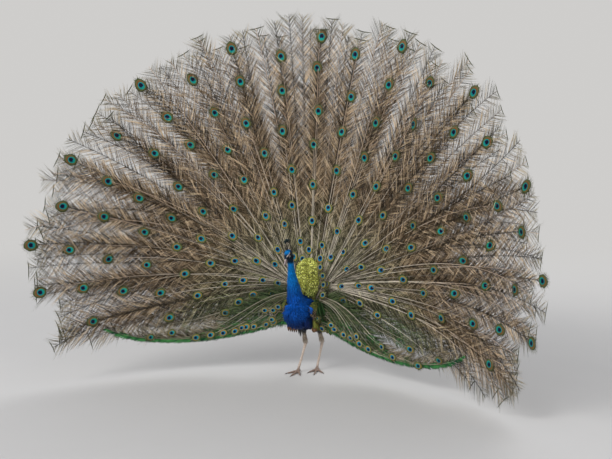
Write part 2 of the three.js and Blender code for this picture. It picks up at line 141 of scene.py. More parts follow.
def fishtail_reach(angle):
    return TRAIN_REACH - 0.170 * (np.abs(angle) / 90) ** 3


print("fan top", on_fan(TURN, TRAIN_REACH).round(3))

# %% [markdown]
# ## Feathers as closed blades
#
# A feather is a shaft with barbs, or at this size a leaf with a ridge. Hair particles would be quick, but a
# finished part has to be plain mesh. So every barb, tuft and quill here is a thin closed blade: rings of
# three or four corners that narrow to a point. One function bends and tapers thousands of them at once with
# numpy.

# %% Blades
def tube_faces(rings, sides):
    faces = []
    for ring in range(rings - 1):
        for i in range(sides):
            a, b = ring * sides + i, ring * sides + (i + 1) % sides
            faces += [(a, b, b + sides), (a, b + sides, a + sides)]
    last = (rings - 1) * sides
    faces += [(last + i, last + (i + 1) % sides, rings * sides) for i in range(sides)]
    faces += [(0, i + 1, i) for i in range(1, sides - 1)]
    return np.array(faces)


RIDGE = {3: ((1, 0), (0, 1), (-1, 0)), 4: ((1, 0), (0, 1), (-1, 0), (0, -1))}


def blades(root, heading, out, length, width, profile, bend=0.0, twist=0.0, thick=0.3, sides=3):
    """Closed blades. profile lists (share of length, share of width), and bend grows as the share squared."""
    n = len(root)
    length = np.broadcast_to(length, n)[:, None]
    width = np.broadcast_to(width, n)[:, None]
    twist = np.broadcast_to(twist, n)[:, None]
    heading = unit(heading)
    across = unit(np.cross(out, heading))
    face = np.cross(heading, across)
    turned = face * np.cos(twist) - across * np.sin(twist)
    across, face = across * np.cos(twist) + face * np.sin(twist), turned
    points, vane = [], []
    for share, wide in profile:
        middle_line = root + heading * length * share + bend * length * share**2
        for side, rise in RIDGE[sides]:
            edge = across * side * width * wide / 2 + face * rise * width * thick * (0.3 + 0.7 * wide)
            points.append(middle_line + edge)
            vane.append((0.5 + side / 2, share))
    points.append(root + heading * length + bend * length)
    vane.append((0.5, 1.0))
    return np.stack(points, 1), tube_faces(len(profile), sides), np.array(vane)


print("a blade of two rings has", len(tube_faces(2, 3)), "triangles")

# %% [markdown]
# ## Gathering blades into pieces
#
# A piece of coat is one mesh with two maps. **OFBake** gives each blade its own small patch, so that
# colours can be baked; **Vane** tells a material where on the blade it is: across, and from root to tip.
# Plain numbers such as the place on the fan ride along as attributes.

# %% Pieces of coat
class Coat:
    def __init__(self, name):
        self.name = name
        self.points, self.faces, self.bake, self.vane = [], [], [], []
        self.numbers = {}
        self.colours = []
        self.count = 0

    def add(self, shape, bake, patch=(0.003, 0.003), colour=None, **numbers):
        """bake is where each blade's patch lies, patch its width and height there."""
        points, faces, vane = shape
        n, m = points.shape[:2]
        starts = self.count + np.arange(n)[:, None, None] * m
        self.points.append(points.reshape(-1, 3))
        self.faces.append((faces[None] + starts).reshape(-1, 3))
        if vane.ndim == 2:
            vane = np.broadcast_to(vane, (n, m, 2))
        self.vane.append(vane.reshape(-1, 2))
        spots = np.asarray(bake)[:, None, :] + (vane - 0.5) * np.asarray(patch)
        self.bake.append(spots.reshape(-1, 2))
        for key, value in numbers.items():
            value = np.asarray(value, float)
            value = np.broadcast_to(value[:, None] if value.ndim == 1 else value, (n, m))
            self.numbers.setdefault(key, []).append(value.reshape(-1))
        if colour is not None:
            self.colours.append(np.repeat(colour, m, axis=0))
        self.count += n * m

    def make(self, material, slot, replaces=()):
        points = np.concatenate(self.points)
        faces = np.concatenate(self.faces)
        numbers = {key: np.concatenate(value) for key, value in self.numbers.items()}
        colours = np.concatenate(self.colours) if self.colours else None
        maps = {"OFBake": np.concatenate(self.bake), "Vane": np.concatenate(self.vane)}
        piece = mesh_piece(self.name, points, faces, maps, numbers, colours)
        return finish_piece(piece, material, replaces)


def into_scene(name, data):
    made = bpy.data.objects.new(name, data)
    bpy.context.scene.collection.objects.link(made)
    return made


def mesh_piece(name, points, faces, maps, numbers=None, colours=None):
    mesh = bpy.data.meshes.new(name)
    mesh.vertices.add(len(points))
    mesh.vertices.foreach_set("co", points.astype(np.float32).ravel())
    corners = faces.astype(np.int32).ravel()
    mesh.loops.add(len(corners))
    mesh.loops.foreach_set("vertex_index", corners)
    mesh.polygons.add(len(faces))
    mesh.polygons.foreach_set("loop_start", np.arange(len(faces), dtype=np.int32) * 3)
    mesh.update(calc_edges=True)
    mesh.polygons.foreach_set("use_smooth", np.ones(len(faces), bool))
    for key, uv in maps.items():
        layer = mesh.uv_layers.new(name=key)
        layer.uv.foreach_set("vector", uv[corners].astype(np.float32).ravel())
    for key, value in (numbers or {}).items():
        mesh.attributes.new(key, "FLOAT", "POINT").data.foreach_set("value", value.astype(np.float32))
    if colours is not None:
        paint_points(mesh, colours)
    return into_scene(name, mesh)


def in_row(first, apart, count, height):
    """Places side by side on the bake map, for a few broad vanes."""
    return np.stack([first + apart * np.arange(count), np.full(count, height)], 1)


def paint_points(mesh, colours):
    full = np.concatenate([colours, np.ones((len(colours), 1))], 1).astype(np.float32)
    mesh.attributes.new("Marking", "FLOAT_COLOR", "POINT").data.foreach_set("color", full.ravel())


triangles = {}


def finish_piece(piece, material, replaces=()):
    piece.data.materials.clear()
    piece.data.materials.append(material)
    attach(piece, "root")
    if replaces:
        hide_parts(*replaces)
    triangles[piece.name] = sum(len(p.vertices) - 2 for p in piece.data.polygons)
    print(piece.name, triangles[piece.name], "triangles")
    return piece


print("a row of three patches", in_row(0.1, 0.3, 3, 0.5)[:, 0])

# %% [markdown]
# ## Writing materials
#
# Materials are made of nodes, which could be placed and wired one by one. This small helper keeps each
# material short enough to read: it places a node, wires what is passed as a socket and types in what is a
# number.

# %% A node helper
class Recipe:
    def __init__(self, tree):
        self.tree = tree

    def node(self, kind, wires=None, **settings):
        made = self.tree.nodes.new("ShaderNode" + kind)
        for key, value in settings.items():
            setattr(made, key, value)
        for key, value in (wires or {}).items():
            self.wire(made.inputs[key], value)
        return made

    def wire(self, entry, value):
        if isinstance(value, bpy.types.NodeSocket):
            self.tree.links.new(value, entry)
        else:
            if entry.type == "RGBA" and len(value) == 3:
                value = (*value, 1.0)
            entry.default_value = value

    def maths(self, operation, a, b=0.0, clamp=False):
        return self.node("Math", {0: a, 1: b}, operation=operation, use_clamp=clamp).outputs[0]

    def plus(self, a, b, clamp=False):
        return self.maths("ADD", a, b, clamp)

    def minus(self, a, b):
        return self.maths("SUBTRACT", a, b)

    def times(self, a, b):
        return self.maths("MULTIPLY", a, b)

    def larger(self, a, b):
        return self.maths("MAXIMUM", a, b)

    def mix(self, a, b, share, blend="MIX"):
        made = self.node("Mix", {0: share, 6: a, 7: b}, data_type="RGBA", blend_type=blend)
        return made.outputs[2]

    def band(self, value, start, end):
        """0 before start, 1 after end, smooth between."""
        made = self.node("MapRange", {0: value, 1: start, 2: end}, interpolation_type="SMOOTHSTEP")
        return made.outputs[0]

    def noise(self, vector, scale, detail=2.0):
        return self.node("TexNoise", {"Vector": vector, "Scale": scale, "Detail": detail}).outputs[0]

    def dot(self, vector, axis):
        return self.node("VectorMath", {0: vector, 1: tuple(axis)}, operation="DOT_PRODUCT").outputs["Value"]

    def vane(self):
        """Across and along a blade, each from 0 to 1."""
        split = self.node("SeparateXYZ", {0: self.node("UVMap", uv_map="Vane").outputs[0]})
        return split.outputs[0], split.outputs[1]

    def number(self, name):
        return self.node("Attribute", attribute_name=name).outputs["Fac"]

    def marking(self):
        return self.node("Attribute", attribute_name="Marking").outputs["Color"]

    def place(self):
        return self.node("TexCoord").outputs["Object"]

    def group(self, name, **wires):
        wires = {key.replace("_", " "): value for key, value in wires.items()}
        return self.node("Group", wires, node_tree=bpy.data.node_groups[name]).outputs

    def bump(self, height, distance, strength):
        return self.node("Bump", {"Height": height, "Distance": distance, "Strength": strength}).outputs[0]


def new_material(name, build, **fixed):
    """build gets the recipe and returns what feeds the shader's sockets; fixed values go on the sockets."""
    material = bpy.data.materials.new(name)
    material.use_nodes = True
    material.node_tree.nodes.clear()
    recipe = Recipe(material.node_tree)
    shader = recipe.node("BsdfPrincipled")
    for key, value in {**fixed, **build(recipe)}.items():
        recipe.wire(shader.inputs[key.replace("_", " ")], value)
    recipe.node("OutputMaterial", {0: shader.outputs[0]})
    print("material", name)
    return material


def new_group(name, inputs, outputs, build):
    tree = bpy.data.node_groups.new(name, "ShaderNodeTree")
    recipe = Recipe(tree)
    for key, kind, value in inputs:
        entry = tree.interface.new_socket(key, in_out="INPUT", socket_type="NodeSocket" + kind)
        entry.default_value = value
    for key, kind in outputs:
        tree.interface.new_socket(key, in_out="OUTPUT", socket_type="NodeSocket" + kind)
    start = tree.nodes.new("NodeGroupInput")
    end = tree.nodes.new("NodeGroupOutput")
    for key, value in build(recipe, start.outputs).items():
        recipe.wire(end.inputs[key], value)


print("recipes can", [name for name in vars(Recipe) if not name.startswith("_")])

# %% [markdown]
# ## Effects that several feathers share
#
# No two feathers are quite the same colour, and every vane is ruled with fine barbs. Both could be copied
# into each material. As node groups they are built once, and each material places them with its own
# strength.

# %% Shared groups
GREY = (0.5, 0.5, 0.5, 1.0)


def feather_variation(r, given):
    """Each feather a little darker or lighter, and darker towards its root, where the next one shades it."""
    _, along = r.vane()
    own = r.times(r.minus(given["Lot"], 0.5), given["Spread"])
    cloud = r.times(r.minus(r.noise(r.place(), 26.0), 0.5), given["Spread"])
    root = r.times(r.band(along, 0.55, 0.0), given["Root shade"])
    total = r.minus(r.plus(r.plus(own, cloud), 1.0), root)
    grey = r.node("CombineColor", {0: total, 1: total, 2: total}).outputs[0]
    return {"Color": r.mix(given["Color"], grey, 1.0, "MULTIPLY")}


new_group("Feather variation",
          [("Color", "Color", GREY), ("Lot", "Float", 0.5), ("Spread", "Float", 0.5),
           ("Root shade", "Float", 0.4)],
          [("Color", "Color")], feather_variation)


def barb_ruling(r, given):
    """Fine barbs that run out from the shaft at a slant, as a height, and the shaft's own ridge as a mask."""
    across, along = r.vane()
    off = r.maths("ABSOLUTE", r.minus(across, 0.5))
    slant = r.minus(r.times(along, given["Barbs"]),
                    r.times(off, r.times(given["Barbs"], 0.35)))
    wave = r.maths("SINE", r.times(slant, 2 * math.pi))
    shaft = r.band(off, 0.05, 0.02)
    return {"Height": r.plus(wave, r.times(shaft, 3.0)), "Shaft": shaft}


new_group("Barb ruling", [("Barbs", "Float", 30.0)], [("Height", "Float"), ("Shaft", "Float")], barb_ruling)


def varied(r, colour, spread, root_shade=0.3):
    settings = {"Color": colour, "Lot": r.number("lot"), "Spread": spread, "Root_shade": root_shade}
    return r.group("Feather variation", **settings)["Color"]


def ruled(r, barbs, deep=0.0002, strength=0.4):
    """A normal from the fine barbs, and the shaft as a mask."""
    ruling = r.group("Barb ruling", Barbs=barbs)
    return r.bump(ruling["Height"], deep, strength), ruling["Shaft"]


print("groups", [g.name for g in bpy.data.node_groups])

# %% [markdown]
# ## The bird's markings
#
# A blue crown, neck and breast that darken below, a black belly, buff thighs, grey-pink legs, and a face
# with bare white skin above and below a black line through the eye. The black chin spreads over the lower
# face and the top of the throat: part its own colour, part painted shade under the bowed head. These could
# be painted on each piece.
# Worked out as one function of place, they are the same on skin and feathers, and a feather takes its whole
# colour from its root, as real ones do.

# %% Markings
BLUE = np.array([0.001, 0.116, 0.560])
TEAL_BLUE = np.array([0.001, 0.285, 0.790])
NAVY = np.array([0.001, 0.018, 0.120])
BLACK = np.array([0.010, 0.011, 0.014])
FACE_WHITE = np.array([0.70, 0.62, 0.56])
BUFF = np.array([0.47, 0.38, 0.28])
LEG = np.array([0.72, 0.60, 0.50])
FOOT = np.array([0.32, 0.23, 0.185])
OLIVE_GOLD = np.array([0.36, 0.35, 0.060])
VENT_BROWN = np.array([0.075, 0.055, 0.040])
THROAT_AND_HEAD_SHADE = np.array([0.002, 0.014, 0.020])


def step(value, start, end):
    share = np.clip((value - start) / (end - start), 0, 1)
    return share * share * (3 - 2 * share)


def wobble(points, size, seed):
    """Smooth unevenness, about -1 to 1, that repeats each run."""
    turns = np.random.default_rng(seed).normal(size=(5, 3)) / size
    shifts = np.random.default_rng(seed + 1).uniform(0, 6.3, 5)
    return np.sin(points @ turns.T * 2.2 + shifts).mean(1) * 1.6


def face_masks(points):
    along, up, out = head_places(points)
    side = np.abs(out) > 0.005
    face = side & (along > -0.004) & (along < 0.060)
    brow_line = 0.0125 - 9.0 * (along - 0.031) ** 2
    white_above = face & (np.abs(up - brow_line) < 0.0017) & (along > 0.014) & (along < 0.046)
    cheek_line = -0.0075 + 12.0 * (along - 0.027) ** 2
    white_below = face & (np.abs(up - cheek_line) < 0.0026 - 0.09 * np.abs(along - 0.027)) & (along > 0.010)
    lore = face & (np.abs(up - EYE_UP) < 0.0066) & (along > 0.002)
    at_the_eye = np.hypot(along - EYE_ALONG, up - EYE_UP) < 0.0055
    white = (white_above | (white_below & (along < 0.046))) & ~at_the_eye
    # The chin mask takes in the lower side of the face too: the black chin, and painted shade under the bowed
    # head.
    chin_and_head_shade = ((up < -0.010) & (along > 0.012)) | (side & (up < -0.003) & (along > -0.004))
    return white, lore & ~white, chin_and_head_shade


TRUNK_TURN, TRUNK_ASIDE = math.radians(12), 0.011  # the trunk points a little to the bird's right


def swung(x, y, angle):
    return x * math.cos(angle) - y * math.sin(angle), x * math.sin(angle) + y * math.cos(angle)


def trunk_places(points):
    """The bird's places turned to the trunk's own heading."""
    x, y, z = (points - SHIFT).T
    return *swung(x + TRUNK_ASIDE, y, TRUNK_TURN), z


def behind_breast(points, early=0.0):
    """Breast feathers lie over the wing's front, up to a line that slants back: 0 before it, 1 behind."""
    own_x, own_y, _ = trunk_places(points)
    return step(own_y + 1.86 * np.abs(own_x) + early, 0.056, 0.068)


def body_markings(points):
    bird = points - SHIFT
    x, y, z = bird.T
    own_y = trunk_places(points)[1]
    rough = wobble(points, 0.030, 5)
    colour = np.tile(BLUE, (len(points), 1))

    def lay(paint, share):
        nonlocal colour
        colour = colour + (paint - colour) * np.clip(share, 0, 1)[:, None]

    lay(TEAL_BLUE, step(z, 0.42, 0.58))
    lay(NAVY, 0.92 * step(z + 0.012 * rough, 0.375, 0.285))
    lay(NAVY, 0.55 * step(y, -0.110, -0.045) * step(z, 0.50, 0.42))
    lay(BLACK, 0.8 * step(z + 0.006 * rough - 0.25 * np.maximum(y + 0.13, 0), 0.264, 0.252))
    gold = np.maximum(behind_breast(points), step(own_y + 0.004 * rough, -0.060, -0.045))
    lay(OLIVE_GOLD, gold * step(z, 0.352, 0.372) * step(z, 0.47, 0.44))
    lay(BLACK, step(y, 0.035, 0.075) * step(z, 0.40, 0.36))
    lay(VENT_BROWN, step(y, 0.085, 0.125))
    white, lore, chin_and_head_shade = face_masks(points)
    head = step(z, 0.615, 0.635)
    # Near-black on the throat below the head: the dark throat, and painted shade under the bowed head.
    lay(THROAT_AND_HEAD_SHADE, step(z, 0.596, 0.612) * step(z, 0.655, 0.640) * step(y, -0.150, -0.162) * 0.95)
    lay(BLACK, head * chin_and_head_shade * 0.85)
    lay(BLACK, 1.0 * lore)
    lay(FACE_WHITE, 1.0 * white)
    return colour


def leg_markings(points):
    z = (points - SHIFT)[:, 2]
    thigh = step(z + 0.004 * wobble(points, 0.02, 9), 0.158, 0.172)[:, None]
    foot = step(z, 0.042, 0.014)[:, None]
    bare = LEG + (FOOT - LEG) * foot
    dressed = bare + (BUFF - bare) * thigh
    return dressed + (BLACK - dressed) * step(z + 0.006 * wobble(points, 0.02, 11), 0.205, 0.222)[:, None]


print("blue at the crown", body_markings(on_head([0.02], [0.03])).round(3))

# %% [markdown]
# ## A skin for the flesh
#
# The trunk, neck, head, thighs, shanks and feet are separate solids. On the bird they are one body. A join
# of the solids would keep a crease where they meet, so they are melted into one surface by a voxel remesh,
# smoothed, and drawn in by the depth of the plumage: 8 mm on the body, less on neck and head, 5 mm on the
# thighs and nothing on the bare legs. The feathers then rise from it to the outline of the solids.

# %% Skin tools
FLESH = ["trunk", "neck", "head"]
FLESH += [f"{side}_{part}" for side, _ in SIDES for part in ("thigh", "shank", "foot")]


def joined_solids(name, nodes):
    points, faces, count = [], [], 0
    for node in nodes:
        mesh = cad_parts[node].data
        mesh.calc_loop_triangles()
        own = np.array([v.co for v in mesh.vertices])
        points.append(own)
        faces.append(np.array([t.vertices for t in mesh.loop_triangles]) + count)
        count += len(own)
    mesh = bpy.data.meshes.new(name)
    mesh.from_pydata(np.concatenate(points).tolist(), [], np.concatenate(faces).tolist())
    return into_scene(name, mesh)


def apply_modifiers(piece):
    made = bpy.data.meshes.new_from_object(piece.evaluated_get(bpy.context.evaluated_depsgraph_get()))
    piece.modifiers.clear()
    piece.data = made


def places(mesh, what="co"):
    found = np.empty(len(mesh.vertices) * 3, np.float32)
    mesh.vertices.foreach_get(what, found)
    return found.reshape(-1, 3).astype(float)


def relax(mesh, times, hold=None):
    """Evens the surface out: every point moves towards its neighbours, except where hold is 1."""
    edges = np.empty(len(mesh.edges) * 2, np.int32)
    mesh.edges.foreach_get("vertices", edges)
    a, b = edges.reshape(-1, 2).T
    points = places(mesh)
    count = np.bincount(a, minlength=len(points)) + np.bincount(b, minlength=len(points))
    free = 0.6 if hold is None else 0.6 * (1 - hold(points))[:, None]
    for _ in range(times):
        total = np.zeros_like(points)
        np.add.at(total, a, points[b])
        np.add.at(total, b, points[a])
        points += (total / count[:, None] - points) * free
    return points


def put(mesh, points):
    mesh.vertices.foreach_set("co", points.astype(np.float32).ravel())
    mesh.update()


def under_layer(name, nodes, voxel, times, depth, hold=None):
    """A smooth surface inside the named solids, with its own unwrap."""
    piece = joined_solids(name, nodes)
    voxels = piece.modifiers.new("voxels", "REMESH")
    voxels.mode = "VOXEL"
    voxels.voxel_size = voxel
    smaller = piece.modifiers.new("triangles", "TRIANGULATE")
    smaller.quad_method = "SHORTEST_DIAGONAL"
    apply_modifiers(piece)
    put(piece.data, relax(piece.data, times, hold))
    points = places(piece.data)
    put(piece.data, points - places(piece.data, "normal") * depth(points)[:, None])
    put(piece.data, relax(piece.data, 1, hold))
    piece.data.polygons.foreach_set("use_smooth", np.ones(len(piece.data.polygons), bool))
    unwrap(piece)
    return piece


def unwrap(piece):
    piece.data.uv_layers.new(name="OFBake")
    bpy.ops.object.select_all(action="DESELECT")
    piece.select_set(True)
    bpy.context.view_layer.objects.active = piece
    bpy.ops.object.mode_set(mode="EDIT")
    bpy.ops.mesh.select_all(action="SELECT")
    bpy.ops.uv.smart_project(angle_limit=1.2, island_margin=0.003, scale_to_bounds=False)
    bpy.ops.object.mode_set(mode="OBJECT")


def faces_of(piece):
    """Centres, normals and places on the unwrap of all faces, which are triangles."""
    mesh = piece.data
    n = len(mesh.polygons)
    centre, normal = np.empty(n * 3, np.float32), np.empty(n * 3, np.float32)
    mesh.polygons.foreach_get("center", centre)
    mesh.polygons.foreach_get("normal", normal)
    uv = np.empty(len(mesh.loops) * 2, np.float32)
    mesh.uv_layers["OFBake"].uv.foreach_get("vector", uv)
    centre, normal = (part.reshape(-1, 3).astype(float) for part in (centre, normal))
    return centre, normal, uv.reshape(n, -1, 2).mean(1)


print("solids of flesh", len(FLESH))

# %% [markdown]
# The legs keep their full thickness, so the coat's depth fades out down the thighs. The remesh forgets its
# solids, so the points of a leg are found by their distance from the line from ankle to hock to knee. By
# the right shoulder the breast has to lie behind the shield, so there the skin goes deeper.

# %% Depth of the plumage
LEGS = {"left": ((0.037, 0.034, 0.015), (0.058, 0.060, 0.146), (0.050, 0.0, 0.262)),
        "right": ((-0.048, -0.026, 0.015), (-0.020, 0.014, 0.148), (-0.022, -0.026, 0.262))}


def line_distance(points, start, end):
    start, end = np.array(start) + SHIFT, np.array(end) + SHIFT
    share = np.clip(((points - start) @ (end - start)) / ((end - start) @ (end - start)), 0, 1)
    return np.linalg.norm(points - start - share[:, None] * (end - start), axis=1)


def on_a_leg(points):
    near = np.full(len(points), 9.0)
    for ankle, hock, knee in LEGS.values():
        near = np.minimum(near, line_distance(points, ankle, hock))
        near = np.minimum(near, line_distance(points, hock, knee))
    low = points[:, 2] < 0.120
    return low | ((near < 0.040) & (points[:, 2] < 0.252))


def coat_depth(points):
    x, y, z = (points - SHIFT).T
    deep = 0.008 - 0.0035 * step(z, 0.40, 0.47) - 0.0030 * step(z, 0.60, 0.64)
    along = head_places(points)[0]
    deep = deep - 0.0009 * step(along, 0.030, 0.048) * (z > 0.60)
    own_x, own_y, _ = trunk_places(points)
    shoulder = step(own_x, -0.025, -0.055) * step(z, 0.330, 0.350)
    shoulder = shoulder * step(z, 0.405, 0.385) * step(own_y, -0.05, -0.08)
    deep = deep + 0.009 * shoulder
    return np.where(on_a_leg(points), 0.005 * step(z, 0.160, 0.205), deep)


def small_forms(points):
    """The feet and head keep their shape while the rest is smoothed."""
    z = (points - SHIFT)[:, 2]
    return np.maximum(0.55 * step(z, 0.60, 0.63), 0.75 * step(z, 0.15, 0.05))


skin = under_layer("skin", FLESH, 0.0026, 6, coat_depth, small_forms)
skin_points = places(skin.data)
leg_share = on_a_leg(skin_points)
skin_colours = body_markings(skin_points)
skin_colours[leg_share] = leg_markings(skin_points[leg_share])
paint_points(skin.data, skin_colours)
print("skin", len(skin.data.polygons), "triangles, low point", skin_points[:, 2].min().round(4))

# %% [markdown]
# Bare legs have broad plates down the front and small scales elsewhere, and skin under feathers has only
# pores. The scales are under a millimetre high, too fine to be worth a mesh. One height, built from bands
# that run across the leg and a cell pattern, gives both as a bump.

# %% Skin material
def skin_finish(r):
    place = r.place()
    high = r.node("SeparateXYZ", {0: place}).outputs[2]
    leg = r.band(high, 0.175, 0.150)
    plates = r.maths("PINGPONG", r.times(high, 95.0), 0.5)
    edge = r.band(plates, 0.0, 0.13)
    cells = r.node("TexVoronoi", {"Vector": place, "Scale": 330.0}, feature="DISTANCE_TO_EDGE").outputs[0]
    scales = r.band(cells, 0.0, 0.12)
    both = r.times(edge, scales)
    mottle = r.noise(place, 90.0, 3.0)
    dark = r.mix((0.42, 0.33, 0.27), (1, 1, 1), r.plus(both, 0.30, True))
    legs = r.mix(r.mix(r.marking(), (0.24, 0.16, 0.12), r.band(mottle, 0.56, 0.80)), dark, 1.0, "MULTIPLY")
    height = r.mix(mottle, both, leg)
    return {"Base Color": r.mix(r.marking(), legs, leg), "Normal": r.bump(height, 0.0007, 0.5)}


SKIN = new_material("skin_and_scales", skin_finish, Roughness=0.55, Specular_IOR_Level=0.4)
finish_piece(skin, SKIN, FLESH)

# %% [markdown]
# ## Which way feathers lie
#
# Feathers lie from the bill towards the tail and down the thighs. Their directions could be combed by hand.
# Here the directions along the middle of each part of the bird are blended by nearness, then laid flat on
# the surface. Where they would run straight out of it, as at the front of the breast, a share of plain
# downwards is added.

# %% The lie of the plumage
def on_body(own_places):
    """From the trunk's own places to the bird's."""
    x, y, z = np.asarray(own_places, float).T
    x, y = swung(x, y, -TRUNK_TURN)
    return np.stack([x - TRUNK_ASIDE, y, z], -1) + SHIFT


def body_way(x, y, z):
    """A direction given in the trunk's own axes."""
    return on_body([[x, y, z]]) - on_body([[0, 0, 0]])


NECK = np.array([[-0.049, -0.178, 0.654], [-0.051, -0.165, 0.635], [-0.051, -0.154, 0.606],
                 [-0.050, -0.148, 0.570], [-0.047, -0.142, 0.526], [-0.0425, -0.132, 0.476],
                 [-0.040, -0.119, 0.432], [-0.035, -0.106, 0.392]]) + SHIFT
BACK = on_body([[0, -0.150, 0.36], [0, -0.10, 0.335], [0, -0.05, 0.334], [0, 0.01, 0.340], [0, 0.065, 0.348],
                [0, 0.11, 0.356], [0, 0.16, 0.366]])
LINES = [on_head([0.050, 0.034, 0.015, 0.0], [0.0, 0.0, 0.0, 0.0]), NECK, BACK]
LINES += [np.array([knee, hock, ankle]) + SHIFT for ankle, hock, knee in LEGS.values()]
FLOW_AT = np.concatenate([(line[1:] + line[:-1]) / 2 for line in LINES])
FLOW_TO = np.concatenate([unit(line[1:] - line[:-1]) for line in LINES])


def lie(points, normals, drop=0.0):
    away = np.linalg.norm(points[:, None] - FLOW_AT[None], axis=2)
    weight = 1 / (away + 0.01) ** 6
    flow = (weight[..., None] * FLOW_TO[None]).sum(1) / weight.sum(1)[:, None]
    flow = flow - np.array([0, 0, drop])
    flat = flow - normals * (flow * normals).sum(1)[:, None]
    return unit(flat)


def scatter(centres, gap, seed):
    """Which of these places to keep so that none lies nearer than gap to another."""
    order = np.random.default_rng(seed).permutation(len(centres))
    cells = {}
    kept = []
    keys = np.floor(centres / gap).astype(int)
    steps = [(i, j, k) for i in (-1, 0, 1) for j in (-1, 0, 1) for k in (-1, 0, 1)]
    for n in order:
        i, j, k = keys[n]
        spot = centres[n]
        near = [cells.get((i + a, j + b, k + c)) for a, b, c in steps]
        if any(((spot - other) ** 2).sum() < gap * gap for group in near if group for other in group):
            continue
        cells.setdefault((i, j, k), []).append(spot)
        kept.append(n)
    return np.array(kept, int)


print("directions to blend", len(FLOW_AT))

# %% [markdown]
# ## The body's feathers
#
# The smallest feathers are on the face, 6 mm long, and they grow down the neck to 21 mm on the breast and
# 27 mm on the trunk. Rows laid by hand would show, and purely random places leave bald spots. So they are
# sown at random but never nearer than a set gap that suits their size, in a few zones. Each is a rounded
# leaf that rises from the skin by the coat's depth and bends back to lie on its neighbours.

# %% Sowing the body
ROUND_LEAF = [(0.0, 0.45), (0.42, 1.0), (0.84, 0.72)]
LOOSE_LEAF = [(0.0, 0.5), (0.30, 1.0), (0.70, 0.55)]


def sow(coat, surface, chosen, gap, length, width, rise, colours, drop=0.0, profile=ROUND_LEAF, loose=0.0):
    """Grows leaves on the chosen faces. rise is how far they stand off the skin, drop how much they hang."""
    centres, normals, uv = (part[chosen] for part in surface)
    kept = scatter(centres, gap, len(chosen) + 3)
    centres, normals, uv = centres[kept], normals[kept], uv[kept]
    n = len(kept)
    flow = lie(centres, normals, drop)
    sideways = np.cross(normals, flow)
    flow = unit(flow + sideways * rng.normal(0, 0.10 + loose, n)[:, None])
    size = rng.uniform(0.85, 1.15, n)
    lift = np.clip(1.35 * rise / length, 0, 0.7) * rng.uniform(0.8, 1.15 + loose, n)
    heading = flow * np.sqrt(1 - lift**2)[:, None] + normals * lift[:, None]
    bend = -normals * (0.38 * rise * rng.uniform(0.8, 1.2, n))[:, None]
    shape = blades(centres - normals * 0.0008, heading, normals, length * size, width * size, profile, bend,
                   rng.normal(0, 0.12 + loose, n), 0.05)
    coat.add(shape, uv, colour=colours(centres), lot=rng.random(n))
    return n


skin_faces = faces_of(skin)
centres = skin_faces[0]
leg_faces = on_a_leg(centres)
along_head = head_places(centres)[0]
white_face = face_masks(centres)[0]
eye_gap = np.minimum(*(np.linalg.norm(centres - middle(eye), axis=1) for eye in ("left_eye", "right_eye")))
deep, high = (centres - SHIFT).T[1:]
bare = white_face | (eye_gap < 0.0088) | ((along_head > 0.049) & (high > 0.60))
skull = line_distance(centres, HEAD_BACK, on_head(0.055, 0) - SHIFT) < 0.0275
skull = (high > 0.640) | ((high > 0.60) & skull)

# Name, where, gap, length, width, rise and drop of each zone's feathers.
body_zones = [
    ("head", skull, 0.0021, 0.0062, 0.0034, 0.0015, 0.0),
    ("upper neck", (high > 0.53) & ~skull, 0.0032, 0.0125, 0.0055, 0.0038, 0.0),
    ("neck", (high > 0.43) & (high <= 0.53), 0.0043, 0.017, 0.0080, 0.0045, 0.2),
    ("breast", (high <= 0.43) & (deep < -0.075) & ~leg_faces, 0.0052, 0.021, 0.0098, 0.0065, 0.8),
    ("trunk", (high <= 0.43) & (deep >= -0.075) & ~leg_faces, 0.0080, 0.027, 0.0140, 0.0080, 0.3),
]
body_feathers = Coat("body_feathers")
for label, zone, gap, length, width, rise, drop in body_zones:
    chosen = np.flatnonzero(zone & ~bare)
    grown = sow(body_feathers, skin_faces, chosen, gap, length, width, rise, body_markings, drop)
    print(label, grown, "feathers")

# %% [markdown]
# The belly's feathers are longer and looser, and a fringe of them hangs in three rows along the breast's
# low edge. The same sowing gives the first, but a fringe has to end in an even line, so its roots are set
# along a curve.

# %% Belly and fringe
belly = np.flatnonzero((high < 0.292) & (deep < 0.06) & ~leg_faces)
print("belly", sow(body_feathers, skin_faces, belly, 0.0068, 0.030, 0.0105, 0.0100, body_markings, 0.8,
                   LOOSE_LEAF, 0.1))


def belly_fringe(sign, first, last, low, rise, length, colour):
    """Long soft feathers hang along the low edge of the breast; rise lifts their tips towards the front."""
    n = 46
    u = np.linspace(0, 1, n) + rng.normal(0, 0.012, n)
    root = np.stack([sign * (0.060 + 0.010 * np.sin(np.pi * u)), first + (last - first) * u,
                     low + rise * (1 - u) ** 2 + 0.92 * length + rng.normal(0, 0.001, n)], -1)
    start = on_body(root)
    fall = np.stack([-sign * 0.10 * np.ones(n), 0.15 * np.ones(n), -np.ones(n)], -1)
    heading = unit(on_body(root + fall) - start + rng.normal(0, 0.03, (n, 3)))
    outward = body_way(sign, -0.5, 0)
    length = length * rng.uniform(0.95, 1.05, n)
    shape = blades(start, heading, np.tile(outward, (n, 1)), length, 0.0180, ROUND_LEAF,
                   -unit(outward) * 0.20 * length[:, None], rng.normal(0, 0.12, n), 0.08)
    body_feathers.add(shape, in_row(0.05, 0.02, n, 0.02), colour=np.tile(colour, (n, 1)), lot=rng.random(n))


# Each lower row is a darker copy of the same navy: painted shade under the breast's edge.
for sign, first, rise in ((1, -0.125, 0.004), (-1, -0.128, 0.044)):
    belly_fringe(sign, first, -0.066, 0.268, rise, 0.046, NAVY * 1.3)
    belly_fringe(sign, first + 0.006, -0.062, 0.258, rise, 0.044, NAVY * 0.8)
    belly_fringe(sign, first + 0.012, -0.060, 0.250, rise, 0.038, NAVY * 0.35)
print("body feathers with the fringe", sum(len(part) for part in body_feathers.points))

